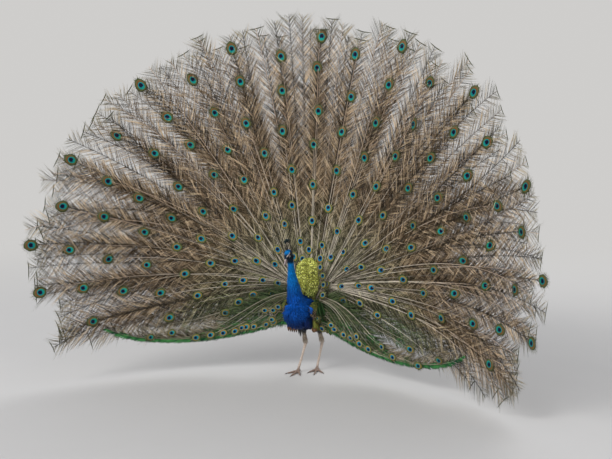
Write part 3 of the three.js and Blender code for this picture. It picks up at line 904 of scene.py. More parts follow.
# %% [markdown]
# The blue comes from layered barbules, not from pigment, so it shines like a soft metal. A thin-film effect
# would change with the camera and be lost in other tools. A partly metallic blue, slightly clouded, with
# fine barbs as a bump and a little blue sheen, comes close and stays.

# %% Iridescent blue
def iridescent(r):
    normal, _ = ruled(r, 16.0, 0.0002, 0.35)
    return {"Base Color": varied(r, r.marking(), 0.45), "Normal": normal,
            "Roughness": r.plus(r.times(r.number("lot"), 0.14), 0.36)}


BODY = new_material("body_feather", iridescent, Metallic=0.4, Specular_IOR_Level=0.3,
                    Sheen_Weight=0.06, Sheen_Roughness=0.4, Sheen_Tint=(0.1, 0.4, 1.0))
body_feathers.make(BODY, "body_blue")

# %% [markdown]
# The thighs are covered in short buff down, looser than the rest, and a black tuft hangs from the belly
# between the legs. Down could be a rough surface alone, but its edge shows against the light, so both are
# narrow leaves that stand off a little.

# %% Thighs and belly tuft
down = Coat("thigh_down")
thigh_zone = np.flatnonzero(leg_faces & (high > 0.158))
sow(down, skin_faces, thigh_zone, 0.0042, 0.015, 0.0062, 0.0045, leg_markings, 0.3, LOOSE_LEAF, 0.08)


def hanging_tuft(coat, root, down_to, count, length, width, spread, colour):
    start = np.array(root) + SHIFT + rng.normal(0, 1, (count, 3)) * np.array(spread)
    heading = unit(np.array(down_to) + rng.normal(0, 0.06, (count, 3)))
    out = unit(rng.normal(0, 1, (count, 3)))
    shape = blades(start, heading, out, length * rng.uniform(0.7, 1.1, count), width, LOOSE_LEAF,
                   rng.normal(0, 0.003, (count, 3)), 0, 0.12)
    where = np.stack([rng.uniform(0.02, 0.06, count), rng.uniform(0.02, 0.06, count)], 1)
    coat.add(shape, where, colour=np.tile(colour, (count, 1)), lot=rng.random(count))


hanging_tuft(down, (-0.046, -0.014, 0.268), (0.08, 0.05, -1), 70, 0.078, 0.0052, (0.003, 0.003, 0.004), BLACK)


def downy(r):
    return {"Base Color": varied(r, r.marking(), 0.7, 0.5), "Normal": ruled(r, 10.0, 0.0003)[0]}


DOWN = new_material("down", downy, Roughness=0.8, Sheen_Weight=0.25, Sheen_Roughness=0.5)
down.make(DOWN, "thigh_buff")

# %% [markdown]
# ## Wings
#
# The folded wings hang behind the breast, mostly hidden by it. Their coverts are barred buff and
# near-black, plain olive-green along the top where the back begins, and blue in front where they meet the
# breast. They are sown like the body's feathers, but only on the side that shows, and closer together in
# front. The bars could be painted by place, but then they would run on from feather to feather. They are
# drawn along each feather, a little shifted.

# %% Wing coverts
WING_BUFF = np.array([0.40, 0.31, 0.20])
WING_TOP = np.array([0.19, 0.22, 0.045])


def wing_markings(points):
    x, _, z = (points - SHIFT).T
    colour = np.tile(WING_BUFF, (len(points), 1))
    colour = colour + (WING_TOP - colour) * step(z, 0.352, 0.372)[:, None]
    breast = BLUE + (NAVY - BLUE) * (0.92 * step(z, 0.375, 0.285))[:, None]
    front = (behind_breast(points, 0.026) < 0.5) & (x > 0)
    return np.where(front[:, None], breast, colour)


def barred(r):
    """Bars on the buff feathers only: those with little red in their colour are plain and glossier."""
    across, along = r.vane()
    curve = r.times(r.maths("ABSOLUTE", r.minus(across, 0.5)), 0.5)
    phase = r.plus(r.minus(r.times(along, 2.1), curve), r.times(r.number("lot"), 0.8))
    bars = r.band(r.maths("PINGPONG", phase, 0.5), 0.20, 0.28)
    red = r.node("SeparateColor", {0: r.marking()}).outputs[0]
    plain = r.band(red, 0.30, 0.24)
    dark = r.mix((0.022, 0.018, 0.014), r.marking(), r.larger(bars, plain))
    return {"Base Color": varied(r, dark, 0.5), "Roughness": r.minus(0.62, r.times(plain, 0.15)),
            "Normal": ruled(r, 22.0)[0]}


BARRED = new_material("barred_wing", barred, Specular_IOR_Level=0.35)
for side, sign in SIDES:
    wing = under_layer(f"{side}_wing_skin", [f"{side}_wing"], 0.0032, 6, lambda p: np.full(len(p), 0.0035))
    # The skin under the coverts takes their colour at 0.3: painted shade where it shows between them.
    paint_points(wing.data, wing_markings(places(wing.data)) * 0.3)
    wing_faces = faces_of(wing)
    finish_piece(wing, DOWN, [f"{side}_wing"])
    coverts = Coat(f"{side}_wing_coverts")
    front = (wing_faces[0] - SHIFT)[:, 1] < -0.02
    outer = wing_faces[1][:, 0] * sign > -0.3
    for zone, gap, length, width, rise, drop in ((front, 0.0044, 0.024, 0.012, 0.005, 1.2),
                                                 (~front, 0.0086, 0.036, 0.018, 0.006, 0.25)):
        sow(coverts, wing_faces, np.flatnonzero(outer & zone), gap, length, width, rise, wing_markings, drop)
    coverts.make(BARRED, "wing_barred")

# %% [markdown]
# Under each wing hang the chestnut flight feathers, thirteen stiff vanes a side. Each could be a modelled
# vane with its own web, but only their lower halves show. A broad four-sided blade with a ridge, ruled by
# its material, is enough. On the left they open like a hand: the first ones curl in under the belly.

# %% Flight feathers
VANE = [(0.0, 0.28), (0.10, 0.7), (0.25, 0.95), (0.45, 1.0), (0.65, 0.97), (0.82, 0.8), (0.94, 0.45)]


def flight_feathers(side, sign):
    coat = Coat(f"{side}_flight_feathers")
    quills = 13
    share = np.linspace(0, 1, quills)
    first = -0.056 if sign > 0 else -0.078
    aside = sign * (0.071 - 0.022 * share**2)
    top = np.stack([aside, first + (0.120 - first) * share, 0.300 - 0.004 * share], -1)
    drop = 0.080 + 0.025 * np.sin(np.pi * share)
    if sign > 0:
        drop = 0.078 - 0.056 * step(share, 0.17, 0.34) + 0.070 * step(share, 0.30, 1.0)
    inward = 0.020 * (1 - share) + 0.044 * share
    if sign > 0:
        inward = 0.052 * (1 - step(share, 0.0, 0.30)) + 0.030 * step(share, 0.3, 1.0)
    fall = np.stack([np.zeros(quills), 0.014 + 0.044 * share, -drop], -1)
    curl = np.stack([-sign * inward, np.zeros(quills), np.zeros(quills)], -1)
    start = on_body(top)
    end_line = on_body(top + fall) - start
    curl = on_body(top + curl) - start
    out = np.tile(body_way(sign, 0, 0), (quills, 1))
    length = np.linalg.norm(end_line, axis=1)
    turned = 0.12 * sign + (1 + sign) / 2 * 0.95 * step(share, 0.45, 0.05)
    shape = blades(start, end_line, out, length, 0.031, VANE, curl, turned, 0.06, 4)
    coat.add(shape, in_row(0.04, 0.075, quills, 0.5), (0.06, 0.8), lot=rng.random(quills))
    return coat


def chestnut(r):
    _, along = r.vane()
    normal, shaft = ruled(r, 60.0)
    base = r.mix((0.30, 0.115, 0.040), (0.075, 0.040, 0.022), r.band(along, 0.75, 1.0))
    return {"Base Color": varied(r, r.mix(base, (0.40, 0.28, 0.18), shaft), 0.45), "Normal": normal}


CHESTNUT = new_material("chestnut_vane", chestnut, Roughness=0.55)
for side, sign in SIDES:
    flight_feathers(side, sign).make(CHESTNUT, "primary_chestnut", [f"{side}_primaries"])

# %% [markdown]
# The lowest feathers of the back spill over the wing and hang down the flank as a smooth drape. Cloth could
# stand for it from afar, but each feather's edge catches the light. They are broad vanes in three rows,
# olive-gold in front and green behind.

# %% Flank drape
DRAPE_GOLD = np.array([0.300, 0.310, 0.050])
DRAPE_GREEN = np.array([0.026, 0.090, 0.022])


def flank_drape(side, sign):
    coat = Coat(f"{side}_flank_drape")
    n = 19
    for row, fall in enumerate((0.060, 0.074, 0.090)):
        u = (np.arange(n) + rng.uniform(0.3, 0.7, n)) / n
        top = 0.250 - 0.069 * u + 0.036 * row + fall * 0.92
        root = np.stack([sign * (0.081 + 0.012 * np.minimum(1, u * 2.0) - 0.003 * (2 - row)),
                         -0.066 + 0.150 * u, top + rng.normal(0, 0.001, n)], -1)
        down = np.stack([sign * (0.06 + 0.10 * u), 0.10 + 0.36 * u, -np.ones(n)], -1)
        start = on_body(root)
        heading = unit(on_body(root + down * 0.05) - start + rng.normal(0, 0.002, (n, 3)))
        out = np.tile(body_way(sign, -0.35, 0.1), (n, 1))
        curl = body_way(-sign, 0, 0) * 0.14
        length = fall * rng.uniform(0.94, 1.05, n)
        turned = rng.normal(0, 0.08, n)
        shape = blades(start, heading, out, length, 0.017, VANE, curl * length[:, None], turned, 0.05, 4)
        green = (0.10 + 0.55 * row + 0.5 * u + rng.normal(0, 0.08, n))[:, None].clip(0, 1)
        paint = DRAPE_GOLD * (1 - green) + DRAPE_GREEN * green
        where = in_row(0.03, 0.050, n, 0.18 + 0.32 * row)
        coat.add(shape, where, (0.045, 0.28), colour=paint, lot=rng.random(n))
    coat.make(DRAPE, "back_gold")


def drape_vane(r):
    """Silky green that turns dark along each lower edge, with a thin pale shaft."""
    _, along = r.vane()
    normal, shaft = ruled(r, 34.0)
    edged = r.mix(r.marking(), (0.010, 0.016, 0.010), r.times(r.band(along, 0.78, 1.0), 0.8))
    colour = r.mix(edged, (0.30, 0.28, 0.16), r.times(shaft, 0.55))
    return {"Base Color": varied(r, colour, 0.6), "Normal": normal}


DRAPE = new_material("drape_vane", drape_vane, Roughness=0.5, Metallic=0.15, Specular_IOR_Level=0.3)
for side, sign in SIDES:
    flank_drape(side, sign)

# %% [markdown]
# ## The shield of scale feathers
#
# Between the wings the back is covered by gold-green scales with dark edges, which run up on to the roots
# of the raised train. A cell pattern on a smooth back would look right only from afar. So each scale is a
# short broad feather, and the material draws its dark rim by the distance to the feather's edge, so that it
# stands out from the next.

# %% Back shield
SHIELD_GOLD = np.array([0.66, 0.68, 0.100])
SHIELD_GREEN = np.array([0.33, 0.50, 0.110])


def shield_markings(points):
    """Gold in the middle, greener at the sides and low down."""
    x, _, z = (points - SHIFT).T
    mixed = step(z + 0.02 * wobble(points, 0.03, 21), 0.47, 0.40) * 0.5 + step(np.abs(x), 0.045, 0.072) * 0.5
    return SHIELD_GOLD + (SHIELD_GREEN - SHIELD_GOLD) * np.clip(mixed, 0, 1)[:, None]


def gold_scale(r):
    across, along = r.vane()
    off = r.times(r.maths("ABSOLUTE", r.minus(across, 0.5)), 2.0)
    rim = r.larger(r.band(along, 0.76, 0.92), r.band(off, 0.68, 0.95))
    heart = r.times(r.band(off, 0.45, 0.1), r.band(along, 0.62, 0.45))
    colour = r.mix(r.marking(), (0.95, 0.98, 0.30), r.times(r.band(r.number("lot"), 0.45, 1.0), 0.8))
    colour = r.mix(colour, (0.11, 0.15, 0.03), r.times(heart, 0.5))
    colour = r.mix(colour, (0.048, 0.050, 0.012), rim)
    return {"Base Color": varied(r, colour, 0.9), "Normal": ruled(r, 9.0)[0]}


SCALE_LEAF = [(0.0, 0.5), (0.30, 0.95), (0.62, 1.0), (0.88, 0.72), (0.98, 0.28)]
GOLD = new_material("gold_scale", gold_scale, Roughness=0.45, Metallic=0.2)
shield = under_layer("back_shield_skin", ["back_shield"], 0.0032, 5, lambda p: np.full(len(p), 0.004))
# The skin under the scales takes their colour at 0.25: painted shade where it shows between them.
paint_points(shield.data, shield_markings(places(shield.data)) * 0.25)
shield_faces = faces_of(shield)
finish_piece(shield, DOWN, ["back_shield"])


def sow_shield():
    coat = Coat("back_scales")
    centres, normals, uv = shield_faces
    seen = np.flatnonzero(normals[:, 1] < 0.45)
    kept = seen[scatter(centres[seen], 0.0060, 7)]
    n = len(kept)
    root, normal = centres[kept], normals[kept]
    outward = root - on_fan(0.0, 0.02)
    outward[:, 1] = 0
    flow = unit(outward - normal * (outward * normal).sum(1)[:, None])
    flow = unit(flow + rng.normal(0, 0.16, (n, 3)))
    grow = (0.85 + 0.4 * step(root[:, 2], 0.40, 0.60)) * rng.uniform(0.85, 1.15, n)
    heading = unit(flow + normal * rng.uniform(0.25, 0.45, n)[:, None])
    shape = blades(root - flow * 0.004, heading, normal, 0.0122 * grow, 0.0098 * grow, SCALE_LEAF,
                   -normal * 0.0020, rng.normal(0, 0.2, n), 0.10)
    coat.add(shape, uv[kept], colour=shield_markings(root), lot=rng.random(n))
    coat.make(GOLD, "back_gold")
    return n


print("scales", sow_shield())

# %% [markdown]
# ## Tail and undertail
#
# Behind the train stand the twenty real tail feathers, plain grey-brown and stiff, which prop it up. Below
# them the rump is hidden in loose down. Both show from the back and sides, and between the shafts from the
# front. The vanes are broad blades laid on the fan's own surface, a little behind it, and the down is sown
# as on the thighs.

# %% Tail feathers
def tail_feathers():
    coat = Coat("tail_vanes")
    count = 20
    angle = TURN + 78 * ((np.arange(count) + 0.5) / count * 2 - 1)
    reach = 0.425 - 0.040 * (angle / 90) ** 2
    order = np.abs(np.arange(count) - (count - 1) / 2)
    behind = fan_back(angle, np.full(count, 0.2)) * (0.034 + 0.0011 * order)[:, None]
    start = on_fan(angle, np.full(count, 0.120)) + behind
    end = on_fan(angle, reach) + fan_back(angle, reach) * (0.020 + 0.0009 * order)[:, None]
    shape = blades(start, end - start, -fan_back(angle, reach), np.linalg.norm(end - start, axis=1), 0.046,
                   [(0.0, 0.25), (0.12, 0.5), (0.35, 0.8), (0.6, 0.98), (0.85, 1.0), (0.95, 0.8)],
                   0.0, rng.normal(0, 0.10, count), 0.035, 4)
    coat.add(shape, in_row(0.03, 0.048, count, 0.5), (0.042, 0.9), lot=rng.random(count))
    return coat


def grey_vane(r):
    normal, shaft = ruled(r, 90.0, 0.0003)
    base = r.mix((0.105, 0.080, 0.058), (0.185, 0.150, 0.112), r.noise(r.place(), 60.0, 3.0))
    return {"Base Color": varied(r, r.mix(base, (0.50, 0.42, 0.32), shaft), 0.4), "Normal": normal}


TAIL = new_material("grey_vane", grey_vane, Roughness=0.65)
tail_feathers().make(TAIL, "tail_grey", ["tail_feathers"])

# %% The rump's down
rump = under_layer("undertail_skin", ["undertail"], 0.0045, 5, lambda p: np.full(len(p), 0.006))
paint_points(rump.data, np.tile(VENT_BROWN, (len(rump.data.vertices), 1)))
rump_faces = faces_of(rump)
finish_piece(rump, DOWN, ["undertail"])


RUMP_GREY = np.array([0.20, 0.165, 0.125])


def rump_markings(points):
    share = np.clip(0.5 + 0.6 * wobble(points, 0.02, 33), 0, 1)[:, None]
    return VENT_BROWN + (RUMP_GREY - VENT_BROWN) * share


rump_down = Coat("undertail_down")
sow(rump_down, rump_faces, np.arange(len(rump_faces[0])), 0.0082, 0.034, 0.010, 0.008, rump_markings, 0.2,
    LOOSE_LEAF, 0.22)
rump_down.make(DOWN, "tail_grey")

# %% [markdown]
# ## One long feather of the train
#
# A train feather has a pale shaft, loose barbs on both sides that never hook together, and near its tip an
# eyespot. The fan could be a sheet with see-through holes, but then it would have no depth and no true
# edge. So shafts and barbs are real mesh. Each shaft is a four-sided tube that droops a little in the fan's
# surface, the more so the further to the side it leans.

# %% The run of a shaft
def feather_base(angle):
    """Side feathers are rooted high on the flank of the back, upright ones in its middle."""
    side = math.sin(math.radians(angle))
    return np.array([0.055 * side, 0.165 * abs(side)])


def bowed(start, end, turn, count):
    """A curve from start to end that turns by that many radians, most of it near its end."""
    share = np.linspace(0, 1, count)
    heading = turn * share**2.4
    step_x, step_y = np.sin(heading), np.cos(heading)
    line = np.stack([np.cumsum(step_x) - step_x[0], np.cumsum(step_y) - step_y[0]], 1) / (count - 1)
    chord, wanted = line[-1], end - start
    size = np.hypot(*wanted) / np.hypot(*chord)
    swing = math.atan2(wanted[0], wanted[1]) - math.atan2(chord[0], chord[1])
    x = line[:, 0] * math.cos(swing) + line[:, 1] * math.sin(swing)
    y = line[:, 1] * math.cos(swing) - line[:, 0] * math.sin(swing)
    return start + np.stack([x, y], 1) * size


def run_beside(angle, reach, ahead):
    """The run of a feather along given places of the fan, a little ahead of its surface."""
    back = fan_back(angle, reach)
    points = on_fan(angle, reach) - back * ahead
    return {"reach": reach, "points": points, "tangent": unit(np.gradient(points, axis=0)), "out": -back,
            "angle": angle, "polar": reach}


def shaft_run(at_end, end, behind, droop, skip, count=120):
    """Points, directions and outward normals along a feather in the fan, from its base to its end."""
    turn = math.radians(at_end)
    goal = np.array([end * math.sin(turn), end * math.cos(turn)])
    flat = bowed(feather_base(at_end), goal, math.radians(droop) * math.sin(turn), count)
    polar = np.hypot(*flat.T)
    angle = np.degrees(np.arctan2(flat[:, 0], flat[:, 1]))
    gone = np.concatenate([[0], np.cumsum(np.hypot(*np.diff(flat, axis=0).T))])
    run = run_beside(angle, polar, -(behind * step(gone / gone[-1], 0, 0.5))[:, None])
    run["reach"] = end - gone[-1] + gone
    kept = gone > skip
    return {name: values[kept] for name, values in run.items()}


def along_run(run, reach):
    def pick(values):
        return np.stack([np.interp(reach, run["reach"], values[:, i]) for i in range(3)], -1)
    return pick(run["points"]), unit(pick(run["tangent"])), unit(pick(run["out"]))


def add_shaft(coat, run, thick_root, thick_tip, column, raised=0.0040, segments=22):
    reach = np.linspace(run["reach"][0], run["reach"][-1], segments)
    points, tangent, out = along_run(run, reach)
    side = np.cross(tangent, out)
    share = np.linspace(0, 1, segments)
    radius = (thick_root + (thick_tip - thick_root) * share**1.6)[:, None] / 2
    points = points + out * (0.0012 + raised * np.sin(np.pi * share**0.8))[:, None]
    rings = [points + side * radius, points + out * radius * 1.6,
             points - side * radius, points - out * radius]
    ring = np.stack(rings, 1).reshape(-1, 3)
    shape = np.concatenate([ring, points[-1:] + tangent[-1:] * 0.003])[None]
    share = np.repeat(share, 4)
    across = np.tile([1.0, 0.5, 0.0, 0.5], segments)
    vane = np.concatenate([np.stack([across, share], 1), [[0.5, 1.0]]])
    far = np.interp(np.append(np.repeat(reach, 4), reach[-1]), run["reach"], run["polar"])
    coat.add((shape, tube_faces(segments, 4), vane), [[column, 0.5]], (0.002, 0.96),
             reach=far[None] / TRAIN_REACH, lot=rng.random(1), green=np.array([0.0]), kind=np.array([1.0]))


upright = shaft_run(0, TRAIN_REACH, 0, 0, 0)
print("an upright shaft ends at", (upright["points"][-1]).round(2))

# %% [markdown]
# Barbs cling together in twos and threes, which gives the fan its ragged, grassy look. Hair curves could
# carry them, but they would be lost outside Blender. Each is a blade of a few triangles, wide enough to
# catch light. The clump is drawn first, and its barbs share a slant, a length and most of their shade. They
# are set closer towards the tip, where the real ones are dense, and those that would sink into the floor
# come to lie along it.

# %% Loose barbs
BARB = [(0.0, 1.0), (0.5, 0.8)]
SPIKE = [(0.0, 1.0)]


def clumps(reach):
    """Barbs cling together in twos and threes: each one gets the number of its clump."""
    return np.cumsum(rng.random(len(reach)) < 0.50)


CLEAR = 0.012  # below this height barbs bend along the floor


def above_floor(points):
    points = points.copy()
    high = points[..., 2]
    points[..., 2] = np.where(high < CLEAR, CLEAR * np.exp((high - CLEAR).clip(-0.3, 0) / 0.03), high)
    return points


def add_barbs(coat, run, reach, side, length, column, width, sweep, hook, fuzz, green, profile=BARB):
    """Barbs on one side of the shaft. hook turns their tips towards the feather's tip."""
    n = len(reach)
    clump = clumps(reach)
    centre = np.array([reach[clump == c].mean() for c in range(clump[-1] + 1) if (clump == c).any()])
    order = np.unique(clump, return_inverse=True)[1]
    reach = reach + (centre[order] - reach) * 0.35
    shared = rng.normal(0, 1, (len(centre), 3))[order]
    root, tangent, out = along_run(run, reach)
    across = np.cross(tangent, out) * side
    slant = sweep + fuzz * (shared[:, 0] + 0.3 * rng.normal(0, 1, n))
    heading = tangent * np.cos(slant)[:, None] + across * np.sin(slant)[:, None]
    heading = unit(heading + out * (0.02 + 0.05 * shared[:, 1] + 0.02 * rng.normal(0, 1, n))[:, None])
    length = length * (0.96 + 0.07 * shared[:, 2].clip(-2, 2) + 0.05 * rng.normal(0, 1, n))
    bend = (tangent * hook - across * 0.08 + out * rng.normal(0.03, 0.05, n)[:, None]) * length[:, None]
    lot = (rng.random(len(centre))[order] + rng.normal(0, 0.10, n)).clip(0, 1)
    width = width * (0.78 + 0.5 * lot)
    twist = rng.normal(0, 0.5, n)
    points, faces, vane = blades(root, heading, out, length, width, profile, bend, twist, 0.32)
    low, high = run["reach"][0], run["reach"][-1]
    rows = 0.02 + 0.96 * (reach - low) / (high - low)
    half = 0.017
    where = np.stack([column + side * half * 0.55 * np.ones(n), rows], 1)
    far = np.interp(reach, run["reach"], run["polar"]) / TRAIN_REACH
    coat.add((above_floor(points), faces, vane), where, (0.0, 0.0), reach=far, lot=lot, green=green,
             kind=np.zeros(n))
    # In the OFBake layout a barb lies across its feather's column, on its own side of the shaft.
    turned = np.broadcast_to(vane[:, ::-1], (n, len(vane), 2)).copy()
    if side < 0:
        turned[..., 0] = 1 - turned[..., 0]
    spot = where[:, None, :] + (turned - 0.5) * np.array([half * 0.9, 0.0022])
    coat.bake[-1] = spot.reshape(-1, 2)


def add_web(coat, run, spots, side, length, column, width, green, bent=0.26):
    """Bent barbs near the tip, where they show singly, and cheaper straight ones further in."""
    outer = run["reach"][-1] - spots < bent
    sweep, hook = rng.normal(0.72, 0.09), rng.uniform(0.22, 0.52)
    for part, wide, profile in ((outer, width, BARB), (~outer, width * 1.5, SPIKE)):
        if part.any():
            add_barbs(coat, run, spots[part], side, length[part], column, wide, sweep, hook, 0.13,
                      green[part], profile)


print("a bent barb has", len(tube_faces(len(BARB), 3)), "triangles")

# %% [markdown]
# ## The eyespot
#
# The eyespot is a dense disc, slightly domed, in which the barbs lie edge to edge. Its rim is cut by barb
# tips. The rings could be rings of mesh, each with its own paint, but their edges melt into each other. So
# the disc is one piece with a front and a back, and the material draws the rings from a place on the disc:
# a violet-black heart with a notch, a bright turquoise field, a broad copper ring and thin gold-green rings
# outside. The back is dull.

# %% Eyespot discs
RINGS = [0.0, 0.32, 0.58, 0.80, 0.93, 1.0]
SECTORS = 26


def disc_faces():
    faces = []
    for i in range(SECTORS):
        j = (i + 1) % SECTORS
        faces.append((0, 1 + i, 1 + j))
        for ring in range(1, len(RINGS) - 1):
            a, b = 1 + (ring - 1) * SECTORS, 1 + ring * SECTORS
            faces += [(a + i, b + i, b + j), (a + i, b + j, a + j)]
    front = 1 + (len(RINGS) - 1) * SECTORS
    rim = 1 + (len(RINGS) - 2) * SECTORS
    for i in range(SECTORS):
        j = (i + 1) % SECTORS
        faces += [(rim + i, front + 1 + i, front + 1 + j), (rim + i, front + 1 + j, rim + j)]
        faces.append((front, front + 1 + j, front + 1 + i))
    return np.array(faces)


DISC = disc_faces()
VANE_SPAN = 2.3  # the vane layout is this many disc radii wide
EYE_COLUMNS = 15  # in the OFBake layout
eyes = Coat("eyespots")


def add_eyespot(centre, tangent, out, wide, tall, near):
    side = np.cross(tangent, out)
    turn = 2 * np.pi * np.arange(SECTORS) / SECTORS
    points, vane = [centre + out * 0.0030], [(0.5, 0.5)]
    for ring in RINGS[1:]:
        jag = 1 + (0.09 * rng.normal(0, 1, SECTORS) - 0.06 if ring == 1.0 else 0)
        egg = 1 - 0.10 * np.sin(turn)
        x, y = ring * np.cos(turn) * egg * jag, ring * np.sin(turn) * jag
        dome = 0.0030 * (1 - ring**2) + 0.0004 * np.cos(turn * 13)
        points += list(centre + np.outer(x * wide, side) + np.outer(y * tall, tangent) + np.outer(dome, out))
        vane += list(zip(0.5 + x / VANE_SPAN, 0.5 + y / VANE_SPAN))
    points.append(centre - out * 0.0010)
    vane.append((0.5, 0.5))
    x, y = 0.97 * np.cos(turn) * (1 - 0.10 * np.sin(turn)), 0.97 * np.sin(turn)
    points += list(centre + np.outer(x * wide, side) + np.outer(y * tall, tangent) - out * 0.0008)
    vane += list(zip(0.5 + x / VANE_SPAN, 0.5 + y / VANE_SPAN))
    back = np.zeros(len(points))
    back[-SECTORS - 1:] = 1.0
    vane = np.array(vane)
    cell = 1.0 / EYE_COLUMNS
    number = len(eyes.points)
    corner = np.array([number % EYE_COLUMNS, number // EYE_COLUMNS]) * cell
    spot = corner + (np.where(back[:, None] > 0, vane * [0.25, 0.25] + [0.74, 0.0], vane * 0.74)) * cell
    eyes.add((np.array(points)[None], DISC, vane), [[0.0, 0.0]], (0.0, 0.0), lot=np.array([rng.random()]),
             near=np.array([near]), back=back[None])
    eyes.bake[-1] = spot


print("a disc has", len(DISC), "triangles")

# %% Eyespot material
def eyespot(r):
    across, along = r.vane()
    x = r.times(r.minus(across, 0.5), VANE_SPAN)
    y = r.times(r.minus(along, 0.5), VANE_SPAN)
    wave = r.times(r.minus(r.noise(r.place(), 160.0), 0.5), 0.09)

    def distance(centre, squeeze=1.0):
        up = r.times(r.minus(y, centre), squeeze)
        square = r.plus(r.times(x, x), r.times(up, up))
        return r.plus(r.maths("SQRT", square), wave)

    lot = r.number("lot")
    near = r.number("near")
    low = r.times(r.minus(near, 1.0), 0.17)
    radius, field = distance(0.0), distance(r.plus(low, 0.04))
    notch = r.times(r.band(r.maths("ABSOLUTE", x), 0.16, 0.0), r.band(y, 0.02, -0.16))
    heart = r.plus(distance(r.plus(low, 0.13), 1.05), r.times(notch, 0.12))
    turquoise = r.mix(r.mix((0.001, 0.300, 0.200), (0.001, 0.230, 0.400), near), (0.001, 0.330, 0.330),
                      r.times(lot, 0.6))
    copper = r.mix((0.200, 0.085, 0.026), (0.480, 0.195, 0.050), near)
    gold = r.mix((0.110, 0.120, 0.034), (0.240, 0.270, 0.065), near)
    rim = r.mix((0.062, 0.076, 0.024), (0.090, 0.140, 0.036), near)
    colour = r.mix((0.001, 0.003, 0.022), (0.002, 0.045, 0.290), r.band(heart, 0.31, 0.36))
    colour = r.mix(colour, turquoise, r.band(heart, 0.35, 0.40))
    colour = r.mix(colour, (0.012, 0.150, 0.080), r.band(field, 0.51, 0.56))
    colour = r.mix(colour, copper, r.band(field, 0.56, 0.60))
    colour = r.mix(colour, gold, r.band(radius, 0.66, 0.73))
    colour = r.mix(colour, rim, r.band(radius, 0.76, 0.92))
    rays = r.node("TexNoise", {"Vector": r.place(), "Scale": 420.0}).outputs[0]
    lined = r.mix(colour, r.mix(colour, (0, 0, 0), 0.5), r.band(rays, 0.55, 0.75))
    dull = r.mix((0.12, 0.105, 0.085), (0.045, 0.045, 0.05), r.band(heart, 0.62, 0.5))
    final = r.mix(lined, dull, r.number("back"))
    shine = r.times(r.band(radius, 0.62, 0.50), 0.3)
    return {"Base Color": final, "Metallic": r.plus(shine, 0.1), "Normal": r.bump(rays, 0.0004, 0.4)}


EYESPOT = new_material("eyespot", eyespot, Roughness=0.55, Specular_IOR_Level=0.3)

# %% [markdown]
# ## Colours of barb and shaft
#
# Barbs are bronze-brown and darker at their roots. Each clump's random tone runs from near-black to pale:
# the darkest are painted shade between the layered barbs, the palest painted highlights. Near the body and
# along the fan's low edge they are green, and close to an eyespot or a tip a dusky olive. Shafts are ivory
# near the body and horn-brown far out. Four materials would do it, but each feather would fall apart in
# pieces. One material carries all: an attribute says if it is shaft or barb, and another gives the cast,
# above 0 for green and below 0 for olive.

# %% Barb and shaft material
def train_barb(r):
    _, along = r.vane()
    lot = r.number("lot")
    far = r.number("reach")
    # Dark low lots are painted shade between layered barbs, pale high lots painted highlights; likewise
    # below.
    bronze = r.mix((0.018, 0.012, 0.007), (0.250, 0.165, 0.090), r.band(lot, 0.22, 0.62))
    bronze = r.mix(bronze, (0.960, 0.740, 0.480), r.band(lot, 0.66, 0.96))
    inner = r.mix((0.014, 0.012, 0.006), (0.860, 0.760, 0.520), r.band(lot, 0.46, 0.94))
    bronze = r.mix(bronze, inner, r.band(far, 0.40, 0.12))
    green = r.mix((0.006, 0.034, 0.010), (0.225, 0.400, 0.135), r.maths("POWER", lot, 1.6))
    olive = r.mix((0.034, 0.044, 0.014), (0.170, 0.170, 0.060), lot)
    cast = r.number("green")
    colour = r.mix(bronze, green, r.larger(cast, 0.0))
    colour = r.mix(colour, olive, r.larger(r.times(cast, -1.0), 0.0))
    depth = r.plus(r.times(r.band(far, 0.25, 0.60), 0.35), 0.50)
    colour = r.mix(colour, (0.008, 0.006, 0.004), r.times(r.band(along, 0.17, 0.03), depth))
    ivory = r.mix((0.080, 0.062, 0.040), (0.780, 0.700, 0.570), r.band(lot, 0.40, 0.78))
    horn_brown = r.mix((0.050, 0.036, 0.022), (0.640, 0.480, 0.350), r.band(lot, 0.45, 0.75))
    shaft = r.mix(ivory, horn_brown, r.band(far, 0.30, 0.70))
    final = r.mix(colour, shaft, r.number("kind"))
    return {"Base Color": final, "Roughness": r.plus(r.times(lot, 0.1), 0.52)}


TRAIN = new_material("train_barb", train_barb, Metallic=0.0, Specular_IOR_Level=0.25)

# %% [markdown]
# ## Laying out the train
#
# The eyespots stand on a lattice: even spokes hold whole rows and odd spokes half rows, so that they
# alternate like the scales of a cone. Random places would crowd some and part others, while a lattice with
# a small random shift looks grown. Short feathers lie in front of long ones. The longest of all carry no
# eye but end in a fishtail, most of them with a dark crescent, and fill the rim between the outermost eyes.

# %% Feather lists
def eye_rows(spoke):
    size = abs(spoke)
    if size == 10:
        return [4.1] if spoke > 0 else [0.7, 2.2, 4.2]
    if size % 2 == 0:
        return [0.15 if size else 0.2] + list(range(1, 7))
    inner = {1: 0.03, 3: -0.55, 5: -0.30, 7: -0.38, 9: -0.55}[size]
    return [inner] + [row + 0.5 for row in range(6)]


def green_share(angle, reach):
    low = step(np.abs(angle - TURN), 64, 94)
    near = step(reach, 0.75, 0.25)
    edge = step(np.abs(angle - TURN), 84, 92) * step(reach, 0.9, 0.5)
    return np.clip(0.72 * low * near + 0.22 * near * (reach < 0.6) + 0.5 * edge, 0, 1)


def barb_places(start, end, near_gap, far_gap, turnover=0.62):
    """Places along a shaft: wider apart near the root, close towards the tip."""
    spots, at = [], start
    while at < end:
        spots.append(at)
        at += near_gap if at < end - turnover else far_gap
    return np.array(spots)


